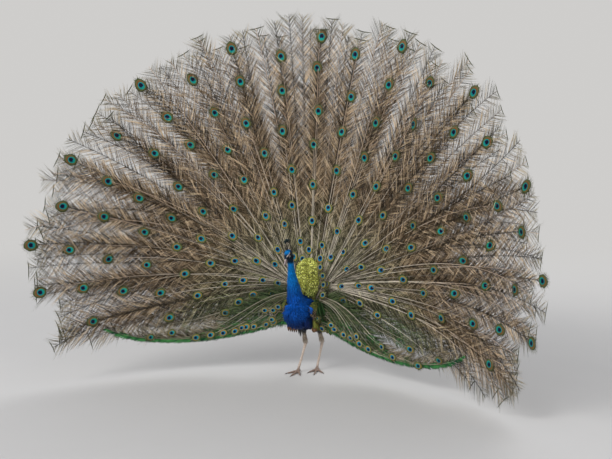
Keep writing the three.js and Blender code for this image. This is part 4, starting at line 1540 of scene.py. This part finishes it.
def eye_feather(coat, spoke, row, column):
    eye = FIRST_EYE + ROW * row + rng.normal(0, 0.010)
    rank = eye / TRAIN_REACH
    angle = float(spoke_angle(spoke + rng.normal(0, 0.10), eye))
    run = shaft_run(angle, eye, 0.013 * rank, rng.normal(9, 11), 0.02)
    wide = 0.0188 + 0.0070 * eye + rng.normal(0, 0.0008)
    dress_eye_feather(coat, run, wide, column, rank)


def dress_eye_feather(coat, run, wide, column, rank):
    """Shaft, webs, halo and eyespot along a run. rank is its length as a share of the longest."""
    start, eye = run["reach"][0], run["reach"][-1]
    tall = wide * 1.24
    add_shaft(coat, run, 0.0019 + 0.0024 * rank, 0.0012 + 0.0008 * rank, column, 0.0045 - 0.0015 * rank)
    for side in (-1, 1):
        spots = barb_places(start + 0.02, eye - tall * 0.5, 0.0034, 0.0031, 0.40)
        spots = spots + rng.uniform(-0.002, 0.002, len(spots))
        gap = eye - spots
        length = 0.026 + 0.090 * step(gap, 0.00, 0.22) + 0.014 * step(gap, 0.3, 0.7)
        length = length * (0.45 + 0.55 * step(spots, 0.08, 0.50)) * (0.70 + 0.35 * rank)
        green = green_share(np.interp(spots, run["reach"], run["angle"]), spots)
        green = green - 0.8 * step(gap, 0.10, 0.03) * (1 - green)
        add_web(coat, run, spots, side, length, column, 0.0014, green)
    add_halo(coat, run, wide, tall, column, rank)
    centre, tangent, out = (part[0] for part in along_run(run, np.array([eye])))
    tangent = unit(tangent + rng.normal(0, 0.10, 3))
    out = unit(out - tangent * (out @ tangent))
    out = unit(out + np.cross(tangent, out) * rng.normal(0, 0.12))
    near = float(step(eye, 1.0, 0.35))
    add_eyespot(centre + out * (0.0035 + 0.0010 * rng.random()), tangent, out, wide, tall, near)


def add_halo(coat, run, wide, tall, column, rank):
    """Barbs that stand out round the disc and carry its colours into the loose fringe."""
    count = 44
    turn = np.radians(np.linspace(-160, 160, count)) + rng.normal(0, 0.03, count)
    tip = run["reach"][-1]
    centre, tangent, out = (part[0] for part in along_run(run, np.array([tip])))
    side = np.cross(tangent, out)
    spoke = np.outer(np.sin(turn), side) + np.outer(np.cos(turn), tangent)
    root = centre + np.outer(np.sin(turn) * wide * 0.8, side) + np.outer(np.cos(turn) * tall * 0.8, tangent)
    root = root + out * 0.0012
    heading = unit(spoke + tangent * 0.45)
    length = (0.012 + 0.016 * rank) * rng.uniform(0.5, 1.2, count)
    twist = rng.normal(0, 0.6, count)
    shape = blades(root, heading, np.tile(out, (count, 1)), length, 0.0017, BARB, 0.0, twist, 0.3)
    where = np.stack([np.full(count, column), 0.982 + 0.012 * rng.random(count)], 1)
    coat.add(shape, where, (0.004, 0.002), reach=np.full(count, tip / TRAIN_REACH), lot=rng.random(count),
             green=np.full(count, -1.0), kind=np.zeros(count))


def fishtail_feather(coat, spoke, share, column):
    angle = TURN + SPOKE * spoke
    tip = fishtail_reach(angle) * share
    if abs(spoke) > 9.3:
        tip = min(tip, 1.28)
    side_share = math.sin(math.radians(angle)) ** 2
    droop = rng.normal(6, 14) + side_share * rng.uniform(0, 34)
    angle = float(spoke_angle(spoke + rng.normal(0, 0.07), tip))
    long_feather(coat, angle, tip - 0.016, droop, column)


def long_feather(coat, angle, end, droop, column):
    run = shaft_run(angle, end, rng.uniform(0.008, 0.018), droop, 0.06)
    start = run["reach"][0]
    add_shaft(coat, run, 0.0034, 0.0022, column, 0.0032)
    for side in (-1, 1):
        spots = barb_places(start + 0.02, end - 0.012, 0.0044, 0.0044, 0.55)
        spots = spots + rng.uniform(-0.002, 0.002, len(spots))
        gap = end - spots
        length = 0.104 + 0.022 * step(gap, 0.10, 0.30)
        length = length * (0.45 + 0.55 * step(spots, 0.10, 0.50))
        length = np.minimum(length, (gap + 0.004) / 0.62)
        green = green_share(np.interp(spots, run["reach"], run["angle"]), spots)
        green = green - 0.7 * step(gap, 0.14, 0.02) * (1 - green)
        add_web(coat, run, spots, side, length, column, 0.0014, green, 0.30)
    if rng.random() < 0.7:
        add_crescent(coat, run, rng.uniform(0.044, 0.074), column)


ARC = [(0.0, 1.0), (0.35, 0.9), (0.7, 0.6)]


def add_crescent(coat, run, half, column):
    """The last barbs lie side by side across the tip as one dark arc that curves outwards."""
    count = 5
    for side in (-1, 1):
        spots = run["reach"][-1] - np.linspace(0.0, 0.0032, count)
        root, tangent, out = along_run(run, spots)
        across = np.cross(tangent, out) * side
        heading = unit(across + tangent * rng.uniform(0.02, 0.12) + out * 0.02)
        length = half * rng.uniform(0.65, 1.1) * np.linspace(1.0, 0.70, count)
        bend = (-tangent * rng.uniform(0.24, 0.42) - across * 0.05) * length[:, None]
        points, *rest = blades(root, heading, out, length, 0.0013, ARC, bend, 0.0, 0.4)
        where = np.stack([np.full(count, column), np.full(count, 0.985)], 1)
        coat.add((above_floor(points), *rest), where, (0.012, 0.003),
                 reach=np.full(count, run["polar"][-1] / TRAIN_REACH), lot=rng.random(count) * 0.6,
                 green=np.full(count, -1.0), kind=np.zeros(count))


print("eyespots on the middle spoke", len(eye_rows(0)))

# %% [markdown]
# One mesh of the whole fan would be too heavy to handle, and a mesh for every feather too many to keep in
# order. So the fan is built in seven groups of three spokes, of about 120,000 triangles each. At its low
# corners the lattice leaves gaps, and the plain feathers there are set one by one, as angle, length and
# droop.

# %% Build the train in seven groups
LOW_FEATHERS = {
    "train_left_low": ((96, 0.52, 6), (99, 0.66, 8), (101, 0.80, 12), (100, 0.94, 18), (103, 0.98, 24),
                       (104, 1.08, 38), (101, 1.14, 36), (102, 1.19, 52), (99, 1.25, 50), (97, 1.30, 44)),
    "train_right_low": ((-93, 0.50, 4), (-96, 0.62, 5), (-94, 0.76, 6), (-96, 0.88, 8), (-93, 1.00, 12),
                        (-95, 1.12, 14), (-92, 1.24, 16), (-95, 1.30, 24)),
}
GROUPS = {"train_right_low": (-10, -9, -8), "train_right_side": (-7, -6, -5),
          "train_right_high": (-4, -3, -2), "train_centre": (-1, 0, 1),
          "train_left_high": (2, 3, 4), "train_left_side": (5, 6, 7),
          "train_left_low": (8, 9, 10)}


def train_node(spoke):
    if spoke == 0:
        return "train_middle"
    return f"train_{'left' if spoke > 0 else 'right'}_{abs(spoke):02d}"


for label, spokes in GROUPS.items():
    coat = Coat(label)
    column = 0.02
    for spoke in spokes:
        for row in eye_rows(spoke):
            eye_feather(coat, spoke, row, column)
            column += 0.036
        for offset, share in ((-0.40, 0.98), (-0.20, 0.95), (0.0, 0.97), (0.20, 0.94), (0.40, 1.0)):
            fishtail_feather(coat, spoke + offset, share - 0.045 * rng.random(), min(column, 0.985))
            column += 0.011
    for angle, end, droop in LOW_FEATHERS.get(label, ()):
        long_feather(coat, angle, end, droop, min(column, 0.985))
        column += 0.008
    coat.make(TRAIN, "train_feather", [train_node(spoke) for spoke in spokes])
print("eyespots so far", len(eyes.points))

# %% [markdown]
# ## Sword feathers
#
# The lowest feathers of the train are curved like a sabre. Their outer web is short, dense and bright green
# and makes the fan's lower edge; the inner web is loose. They could be drawn one by one, but they follow
# each other closely. So one curve gives the edge, and each feather runs inside it by as much as the shorter
# ones before it take up. Short feathers with small eyespots grow all along them, and a few without an eye
# fill the gaps.

# %% Build the sword feathers
SWORDS = {1: {"base": 121, "sweep": 25, "reach": 0.930, "power": 1.6, "start": 0.100},
          -1: {"base": 108, "sweep": 15, "reach": 1.050, "power": 2.0, "start": 0.128}}


def edge_run(side, inside, start, end, ahead, count=120):
    """A feather beside the fan's low edge, inside it by a distance that may change along the way."""
    sword = SWORDS[side]
    reach = np.linspace(start, end, count)
    edge = sword["base"] - sword["sweep"] * (reach / sword["reach"]) ** sword["power"]
    return run_beside(side * (edge - np.degrees(inside(reach) / reach)), reach, ahead)


# The reach of each feather beside the edge, and how far inside the edge it ends, in millimetres.
EDGE_EYES = {1: ((0.216, 26), (0.258, 32), (0.288, 54), (0.315, 26), (0.372, 22), (0.440, 62), (0.515, 28),
                 (0.605, 92), (0.672, 8), (0.790, 36)),
             -1: ((0.190, 22), (0.232, 20), (0.298, 24), (0.338, 32), (0.362, 34), (0.402, 22), (0.462, 26),
                  (0.530, 24), (0.606, 20), (0.725, 52), (0.835, 22))}
GAP_FEATHERS = {1: ((0.800, 66), (0.720, 96), (0.580, 118), (0.440, 128)),
                -1: ((0.900, 66), (0.800, 84), (0.680, 96), (0.560, 98))}


def plain_feather(coat, run, column, length, width, gap, green):
    """A feather without an eye: a thin shaft with straight barbs on both sides."""
    start, tip = run["reach"][0] + 0.01, run["reach"][-1]
    add_shaft(coat, run, 0.0026, 0.0010, column)
    spots = np.arange(start, tip - 0.004, gap)
    long = 0.030 + (length - 0.030) * step(tip - spots, 0.0, 2 * length)
    cast = np.full(len(spots), green)
    for side in (-1, 1):
        add_barbs(coat, run, spots, side, long, column, width, 0.70, 0.40, 0.10, cast, SPIKE)


def sword_feathers(side):
    coat = Coat(f"{'left' if side > 0 else 'right'}_swords")
    sword = SWORDS[side]
    tips = sword["reach"] * np.append(np.linspace(0.13, 0.82, 12), [0.93, 1.0])
    column = 0.02
    for i, tip in enumerate(tips):
        def inside(reach):
            shorter = [step(other - reach, -0.03, 0.10) for other in tips[:i]]
            along_edge = 0.010 + 0.0038 * (np.sum(shorter, axis=0) if shorter else np.zeros_like(reach))
            arriving = 0.150 * (1 - step(reach, 0.05, 0.62 * tip)) * min(1.0, tip / 0.5)
            return along_edge + arriving + 0.014 * step(reach, tip - 0.10, tip)
        run = edge_run(side, inside, min(sword["start"], 0.55 * tip), tip, 0.019 - 0.0005 * i)
        add_shaft(coat, run, 0.0040 if i % 3 == 1 else 0.0020, 0.0010, column)
        web = np.arange(0.50 * tip, tip, 0.0024)
        taper = 0.55 + 0.45 * step(tip - web, 0.0, 0.05)
        add_barbs(coat, run, web, side, 0.036 * taper, column, 0.0042, 0.66, 0.26, 0.03, np.ones(len(web)))
        start = run["reach"][0]
        inner = np.arange(start + 0.02, 0.50 * tip, 0.0044)
        if len(inner):
            add_barbs(coat, run, inner, side, np.full(len(inner), 0.070), column, 0.0034, 0.60, 0.40, 0.10,
                      np.full(len(inner), 0.60), SPIKE)
        loose = np.arange(start + 0.02, tip, 0.0046)
        length = 0.034 + 0.074 * step(tip - loose, 0.03, 0.18)
        add_barbs(coat, run, loose, -side, length, column, 0.0028, 0.74, 0.40, 0.12,
                  np.where(loose < 0.40, 0.42, 0.16), SPIKE)
        column += 0.034
    for eye, apart in EDGE_EYES[side]:
        run = edge_run(side, lambda reach: apart / 1000 + 0.3 * np.maximum(0, eye - reach),
                       max(0.07, eye - 0.12), eye, 0.021, 60)
        dress_eye_feather(coat, run, 0.0160 + 0.005 * eye + rng.normal(0, 0.0012), column, 0.22)
        column += 0.032
    for tip, apart in GAP_FEATHERS[side]:
        run = edge_run(side, lambda reach: apart / 1000 + 0.15 * (tip - reach), 0.12, tip, -0.012)
        plain_feather(coat, run, column, 0.075, 0.0022, 0.0040, 0.22 + 0.08 * side)
        column += 0.032
    coat.make(SWORD, "sword_green", ["left_sword_feathers" if side > 0 else "right_sword_feathers"])


print("swords ready", list(SWORDS))

# %% [markdown]
# Here the green is the web's own, dense and vivid on the outside and leafy within. It could come from the
# train's material with a stronger cast, but the web also shines more, so it gets its own, with the same two
# attributes.

# %% Sword material
def sword_web(r):
    _, along = r.vane()
    lot = r.number("lot")
    bronze = r.mix((0.060, 0.050, 0.028), (0.600, 0.500, 0.340), r.band(lot, 0.25, 0.95))
    vivid = r.mix((0.002, 0.070, 0.028), (0.075, 0.330, 0.085), r.band(lot, 0.10, 0.90))
    leafy = r.mix((0.008, 0.034, 0.012), (0.160, 0.260, 0.090), r.maths("POWER", lot, 1.5))
    cast = r.number("green")
    green = r.mix(leafy, vivid, r.band(cast, 0.6, 0.9))
    colour = r.mix(bronze, green, r.band(cast, 0.1, 0.5))
    colour = r.mix(colour, r.mix(colour, (0, 0, 0), 0.5), r.band(along, 0.35, 0.0))
    ivory = r.mix((0.200, 0.190, 0.110), (0.580, 0.520, 0.400), r.band(lot, 0.25, 0.80))
    final = r.mix(colour, ivory, r.number("kind"))
    return {"Base Color": final, "Roughness": r.plus(r.times(lot, 0.1), 0.48)}


SWORD = new_material("sword_web", sword_web, Metallic=0.1, Specular_IOR_Level=0.3)
for side in (1, -1):
    sword_feathers(side)

# %% [markdown]
# A few short feathers with eyespots lie over each flank, where the train wraps round the body, and plain
# green ones close the space between body and train. They follow no lattice, so they are set one by one on
# the fan's surface.

# %% Flank feathers
# Angle in the fan, reach, and how far ahead of the fan's surface.
FLANK_EYES = [(123, 0.100, 0.034), (104.6, 0.137, 0.030), (110.5, 0.160, 0.028), (86, 0.062, 0.070),
              (-74, 0.166, 0.030), (-82, 0.190, 0.026), (-97, 0.196, 0.024), (-84, 0.235, 0.022),
              (15.1, 0.272, 0.030), (21.0, 0.236, 0.030), (27.1, 0.195, 0.030), (35.6, 0.146, 0.030)]
FLANK_PLAIN = [(-78, 0.185), (-84, 0.180), (-90, 0.190), (-96, 0.185), (-102, 0.175), (-108, 0.160),
               (80, 0.200), (86, 0.215), (92, 0.220), (98, 0.205), (104, 0.190)]
flank = Coat("flank_feathers")
for number, (angle, reach, ahead) in enumerate(FLANK_EYES):
    run = run_beside(np.full(30, float(angle)), np.linspace(max(0.02, reach - 0.085), reach, 30), ahead)
    dress_eye_feather(flank, run, 0.0165, 0.04 + 0.055 * number, 0.10)
for number, (angle, reach) in enumerate(FLANK_PLAIN):
    way = np.linspace(0.03, reach, 40)
    run = run_beside(angle - 0.10 * angle * (1 - way / reach), way, 0.010 + 0.001 * (number % 3))
    plain_feather(flank, run, 0.70 + 0.025 * number, 0.050, 0.0034, 0.0026, 0.55)
flank.make(SWORD, "sword_green")
eyes.make(EYESPOT, "train_feather")
print("eyespots", len(eyes.points))

# %% [markdown]
# ## Crest
#
# The crest is a fan of about two dozen bare shafts in one plane from bill to nape, each with a small
# blue-green flag. Seen from ahead it is nearly a line. One flat plate would do from the side, but the gaps
# between the stems are seen, so each stem and each flag is a blade of its own. They share one material,
# which is told stem from flag.

# %% Build the crest
FLAG = [(0.0, 0.16), (0.22, 0.55), (0.50, 0.95), (0.80, 1.0), (0.94, 0.66)]


def crest():
    coat = Coat("crest_feathers")
    count = 24
    turn = np.radians(np.linspace(-18, 30, count)) + rng.normal(0, 0.015, count)
    stem = CROWN * math.cos(math.radians(34)) - AHEAD * math.sin(math.radians(34))
    fore = -np.cross(LEFTWARD, stem)
    heading = np.outer(np.cos(turn), stem) + np.outer(np.sin(turn), fore)
    base = on_head(0.011, 0.0150) + np.outer(np.sin(turn) * 0.006, fore) - stem * 0.004
    size = 0.069 * (1 - 0.10 * np.abs(turn)) * rng.uniform(0.90, 1.0, count)
    lean = np.outer(rng.normal(0, 0.0016, count), LEFTWARD)
    out = np.tile(LEFTWARD, (count, 1))
    shafts = blades(base, heading, out, size * 0.86, 0.0010, BARB, lean, 0.0, 0.5)
    coat.add(shafts, in_row(0.02, 0.04, count, 0.25), (0.01, 0.4), lot=rng.random(count), kind=np.ones(count))
    start = base + heading * (size * 0.76)[:, None] + lean * 0.8
    twist = rng.normal(0, 0.55, count)
    flags = blades(start, heading, out, size * 0.25, 0.0105, FLAG, lean * 0.3, twist, 0.12)
    coat.add(flags, in_row(0.02, 0.04, count, 0.75), (0.03, 0.4), lot=rng.random(count), kind=np.zeros(count))
    return coat


def crest_flag(r):
    _, along = r.vane()
    green = r.mix((0.003, 0.022, 0.045), (0.003, 0.030, 0.030), r.number("lot"))
    flag = r.mix((0.003, 0.008, 0.014), green, r.band(along, 0.2, 0.6))
    return {"Base Color": r.mix(flag, (0.030, 0.026, 0.022), r.number("kind")), "Normal": ruled(r, 14.0)[0]}


CREST = new_material("crest_flag", crest_flag, Roughness=0.38, Metallic=0.2)
crest().make(CREST, "crest_feather", ["crest"])

# %% [markdown]
# ## Eyes, lids and bill
#
# The eyeballs, bill and claws are hard parts whose solids are already right, so they keep their shape and
# only get materials. The bare pale lids round each eye are missing on the solids. They could be sculpted
# into the skin, but a ring that is wider along the head than across it, thick above and below, needs
# no fine mesh there.

# %% Lids
def lids(side, sign):
    rounds, tube = 36, 8
    centre = middle(f"{side}_eye")
    out = LEFTWARD * sign
    turn = 2 * np.pi * np.arange(rounds) / rounds
    small = 2 * np.pi * np.arange(tube) / tube
    opening = np.stack([0.0058 * np.cos(turn), 0.0046 * np.sin(turn) * (0.92 + 0.08 * np.cos(turn))], -1)
    points = []
    for (x, y), angle in zip(opening, turn):
        outward = unit(AHEAD * x + CROWN * y)
        ring = centre + AHEAD * x + CROWN * y + out * math.sqrt(max(EYE_RADIUS**2 - x * x - y * y, 0))
        thick = 0.0009 + 0.0003 * abs(math.sin(angle))
        points += [ring + outward * thick * (1.1 * math.cos(b) + 0.5) + out * thick * 0.8 * math.sin(b)
                   for b in small]
    faces = []
    for i in range(rounds):
        for j in range(tube):
            a, b = i * tube + j, i * tube + (j + 1) % tube
            c, d = ((i + 1) % rounds) * tube + (j + 1) % tube, ((i + 1) % rounds) * tube + j
            faces += [(a, b, c), (a, c, d)] if sign < 0 else [(a, c, b), (a, d, c)]
    points = np.array(points)
    share = np.repeat(turn / 6.2832, tube)
    uv = np.stack([share, np.tile(small / 6.2832, rounds)], -1)
    piece = mesh_piece(f"{side}_lids", points, np.array(faces), {"OFBake": uv * 0.9 + 0.05})
    paint_points(piece.data, np.tile([0.34, 0.30, 0.28], (len(points), 1)))
    return piece


def lid_skin(r):
    fold = r.noise(r.place(), 900.0, 2.0)
    colour = r.mix((0.20, 0.17, 0.17), (0.42, 0.38, 0.36), fold)
    return {"Base Color": colour, "Normal": r.bump(fold, 0.0003, 0.5)}


LID = new_material("lid_skin", lid_skin, Roughness=0.5)
for side, sign in SIDES:
    finish_piece(lids(side, sign), LID)

# %% [markdown]
# A peacock's eye is about 14 mm across, with a dark brown iris round a black pupil, under a clear wet
# surface. A real eye has a hollow behind the cornea. At this size a painted iris and pupil under a clear
# coat look the same, and the ball stays one solid. The eye looks out sideways and a little ahead.

# %% Eye material
def eye_finish(sign):
    centre = middle("left_eye" if sign > 0 else "right_eye")
    axis = unit(LEFTWARD * sign + AHEAD * 0.12)

    def build(r):
        away = r.node("VectorMath", {0: r.place(), 1: tuple(centre)}, operation="SUBTRACT").outputs[0]
        cosine = r.maths("DIVIDE", r.dot(away, axis), EYE_RADIUS)
        streak = r.noise(r.place(), 1500.0, 3.0)
        iris = r.mix((0.055, 0.022, 0.008), (0.16, 0.070, 0.025), streak)
        colour = r.mix(iris, (0.002, 0.002, 0.003), r.band(cosine, 0.885, 0.905))
        return {"Base Color": r.mix((0.012, 0.008, 0.006), colour, r.band(cosine, 0.60, 0.68))}

    return build


def dress(node, material):
    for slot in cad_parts[node].material_slots:
        slot.material = material


for side, sign in SIDES:
    wet = new_material(f"{side}_eye_finish", eye_finish(sign), Roughness=0.12, Coat_Weight=1.0,
                       Coat_Roughness=0.03)
    dress(f"{side}_eye", wet)
print("eye across", round(2 * EYE_RADIUS, 4))

# %% [markdown]
# Bill and claws are horn: pinkish grey with faint streaks along their growth, and darker at the bill's tip.
# The nostril is a slit near the bill's root. It could be cut, but it is a millimetre high, so it is drawn
# as a dark ellipse, painted shade for the opening, and the streaks are a noise stretched along the growth.

# %% Bill and claws
def horn(base, tip, growth):
    def build(r):
        place = r.place()
        from_back = r.minus(r.dot(place, AHEAD), float((HEAD_BACK + SHIFT) @ AHEAD))
        level = r.minus(r.dot(place, CROWN), float((HEAD_BACK + SHIFT) @ CROWN))
        drawn_out = r.node("VectorMath", {0: place, 1: (growth, growth, growth / 4)}, operation="MULTIPLY")
        streak = r.noise(drawn_out.outputs[0], 1.0, 4.0)
        colour = r.mix(base, r.mix(base, (0.12, 0.09, 0.07), 0.55), r.band(streak, 0.45, 0.65))
        colour = r.mix(colour, tip, r.band(from_back, 0.066, 0.088))
        # The nostril's dark ellipse is painted shade for the slit's opening.
        a = r.maths("DIVIDE", r.minus(from_back, 0.0575), 0.0036)
        b = r.maths("DIVIDE", r.minus(level, 0.0012), 0.0011)
        slit = r.plus(r.times(a, a), r.times(b, b))
        final = r.mix((0.015, 0.012, 0.010), colour, r.band(slit, 0.6, 1.2))
        return {"Base Color": final, "Normal": r.bump(streak, 0.0002, 0.35)}

    return build


bill_colours = horn((0.30, 0.23, 0.225), (0.20, 0.16, 0.15), 260.0)
BILL = new_material("bill_horn", bill_colours, Roughness=0.38, Coat_Weight=0.15)
dress("upper_bill", BILL)
dress("lower_bill", BILL)


def claw_horn(r):
    streak = r.noise(r.place(), 700.0, 3.0)
    return {"Base Color": r.mix((0.050, 0.038, 0.030), (0.14, 0.11, 0.085), streak),
            "Normal": r.bump(streak, 0.0002, 0.3)}


CLAW = new_material("claw_horn", claw_horn, Roughness=0.4)
for side, _ in SIDES:
    for toe in ("outer", "middle", "inner", "hind"):
        dress(f"{side}_{toe}_claw", CLAW)

# %% [markdown]
# ## Floor, light and camera
#
# A studio's backdrop curves up from the floor. Here the floor is flat and wide, and far from the bird its
# material fades into the background's own colour, so that no horizon shows.

# %% Floor
floor_mesh = bpy.data.meshes.new("floor")
floor_mesh.from_pydata([(-40, -40, 0), (40, -40, 0), (40, 40, 0), (-40, 40, 0)], [], [(0, 1, 2, 3)])
floor = into_scene("floor", floor_mesh)


def floor_finish(r):
    mottle = r.noise(r.place(), 3.0, 3.0)
    return {"Base Color": r.mix((0.61, 0.60, 0.588), (0.63, 0.62, 0.607), mottle)}


BACKDROP = (0.62, 0.612, 0.600)


def fade_out(material):
    r = Recipe(material.node_tree)
    shader = next(n for n in r.tree.nodes if n.type == "BSDF_PRINCIPLED")
    output = next(n for n in r.tree.nodes if n.type == "OUTPUT_MATERIAL")
    away = r.node("VectorMath", {0: r.place()}, operation="LENGTH").outputs["Value"]
    seen = r.node("LightPath").outputs["Is Camera Ray"]
    share = r.times(r.band(away, 1.6, 6.0), seen)
    glow = r.node("Emission", {"Color": BACKDROP})
    both = r.node("MixShader", {0: share, 1: shader.outputs[0], 2: glow.outputs[0]})
    r.tree.links.new(both.outputs[0], output.inputs[0])


pale = new_material("floor_pale", floor_finish, Roughness=0.8, Specular_IOR_Level=0.15)
fade_out(pale)
floor_mesh.materials.append(pale)

# %% [markdown]
# One large soft light stands ahead to the bird's right, a weaker one opposite and one behind. A pale world
# fills the shadows, because lamps alone would leave the gaps between the barbs black. The camera sees the
# backdrop's colour in its place.

# %% World and lamps
world = bpy.data.worlds.new("studio")
bpy.context.scene.world = world
world.use_nodes = True
world.node_tree.nodes.clear()
air = Recipe(world.node_tree)
sky = air.node("Background", {"Color": (0.93, 0.95, 1.0), "Strength": 0.47})
seen_sky = air.node("Background", {"Color": BACKDROP})
seen = air.node("LightPath").outputs["Is Camera Ray"]
choice = air.node("MixShader", {0: seen, 1: sky.outputs[0], 2: seen_sky.outputs[0]})
air.node("OutputWorld", {0: choice.outputs[0]})


def lamp(name, place, aim, size, power):
    light = bpy.data.lights.new(name, "AREA")
    light.shape = "SQUARE"
    light.size = size
    light.energy = power
    holder = into_scene(name, light)
    holder.location = place
    holder.rotation_euler = (Vector(aim) - Vector(place)).to_track_quat("-Z", "Y").to_euler()


lamp("key", (-4.8, -7.4, 7.4), (0, 0, 0.8), 4.4, 680)
lamp("fill", (7.0, -5.8, 4.2), (0, 0, 0.7), 4.2, 150)
lamp("back", (1.9, 7.4, 5.8), (0, 0, 0.9), 5.0, 260)
print("lights", sorted(light.name for light in bpy.data.lights))

# %% [markdown]
# The camera stands about 5 m off and 1.4 m up, to the bird's left, and looks a little down. Nearer, the
# fan's rim would loom over the head, and further off the bird would look flat against it.

# %% Camera
AZIMUTH, PITCH = math.radians(16), math.radians(7)
camera = into_scene("camera", bpy.data.cameras.new("camera"))
backward = Vector((math.sin(AZIMUTH) * math.cos(PITCH), -math.cos(AZIMUTH) * math.cos(PITCH),
                   math.sin(PITCH)))
camera.location = Vector((1.39801, -4.92303, 1.37912)) + Vector(SHIFT)
camera.rotation_euler = backward.to_track_quat("Z", "Y").to_euler()
camera.data.sensor_width = 36
camera.data.lens = 58.82
bpy.context.scene.camera = camera
bpy.context.scene.view_settings.view_transform = "Standard"
print("lens", camera.data.lens)

# %% [markdown]
# ## Finish
#
# The number of triangles in all pieces is printed.

# %% Sizes and finish
print("all triangles", sum(triangles.values()))
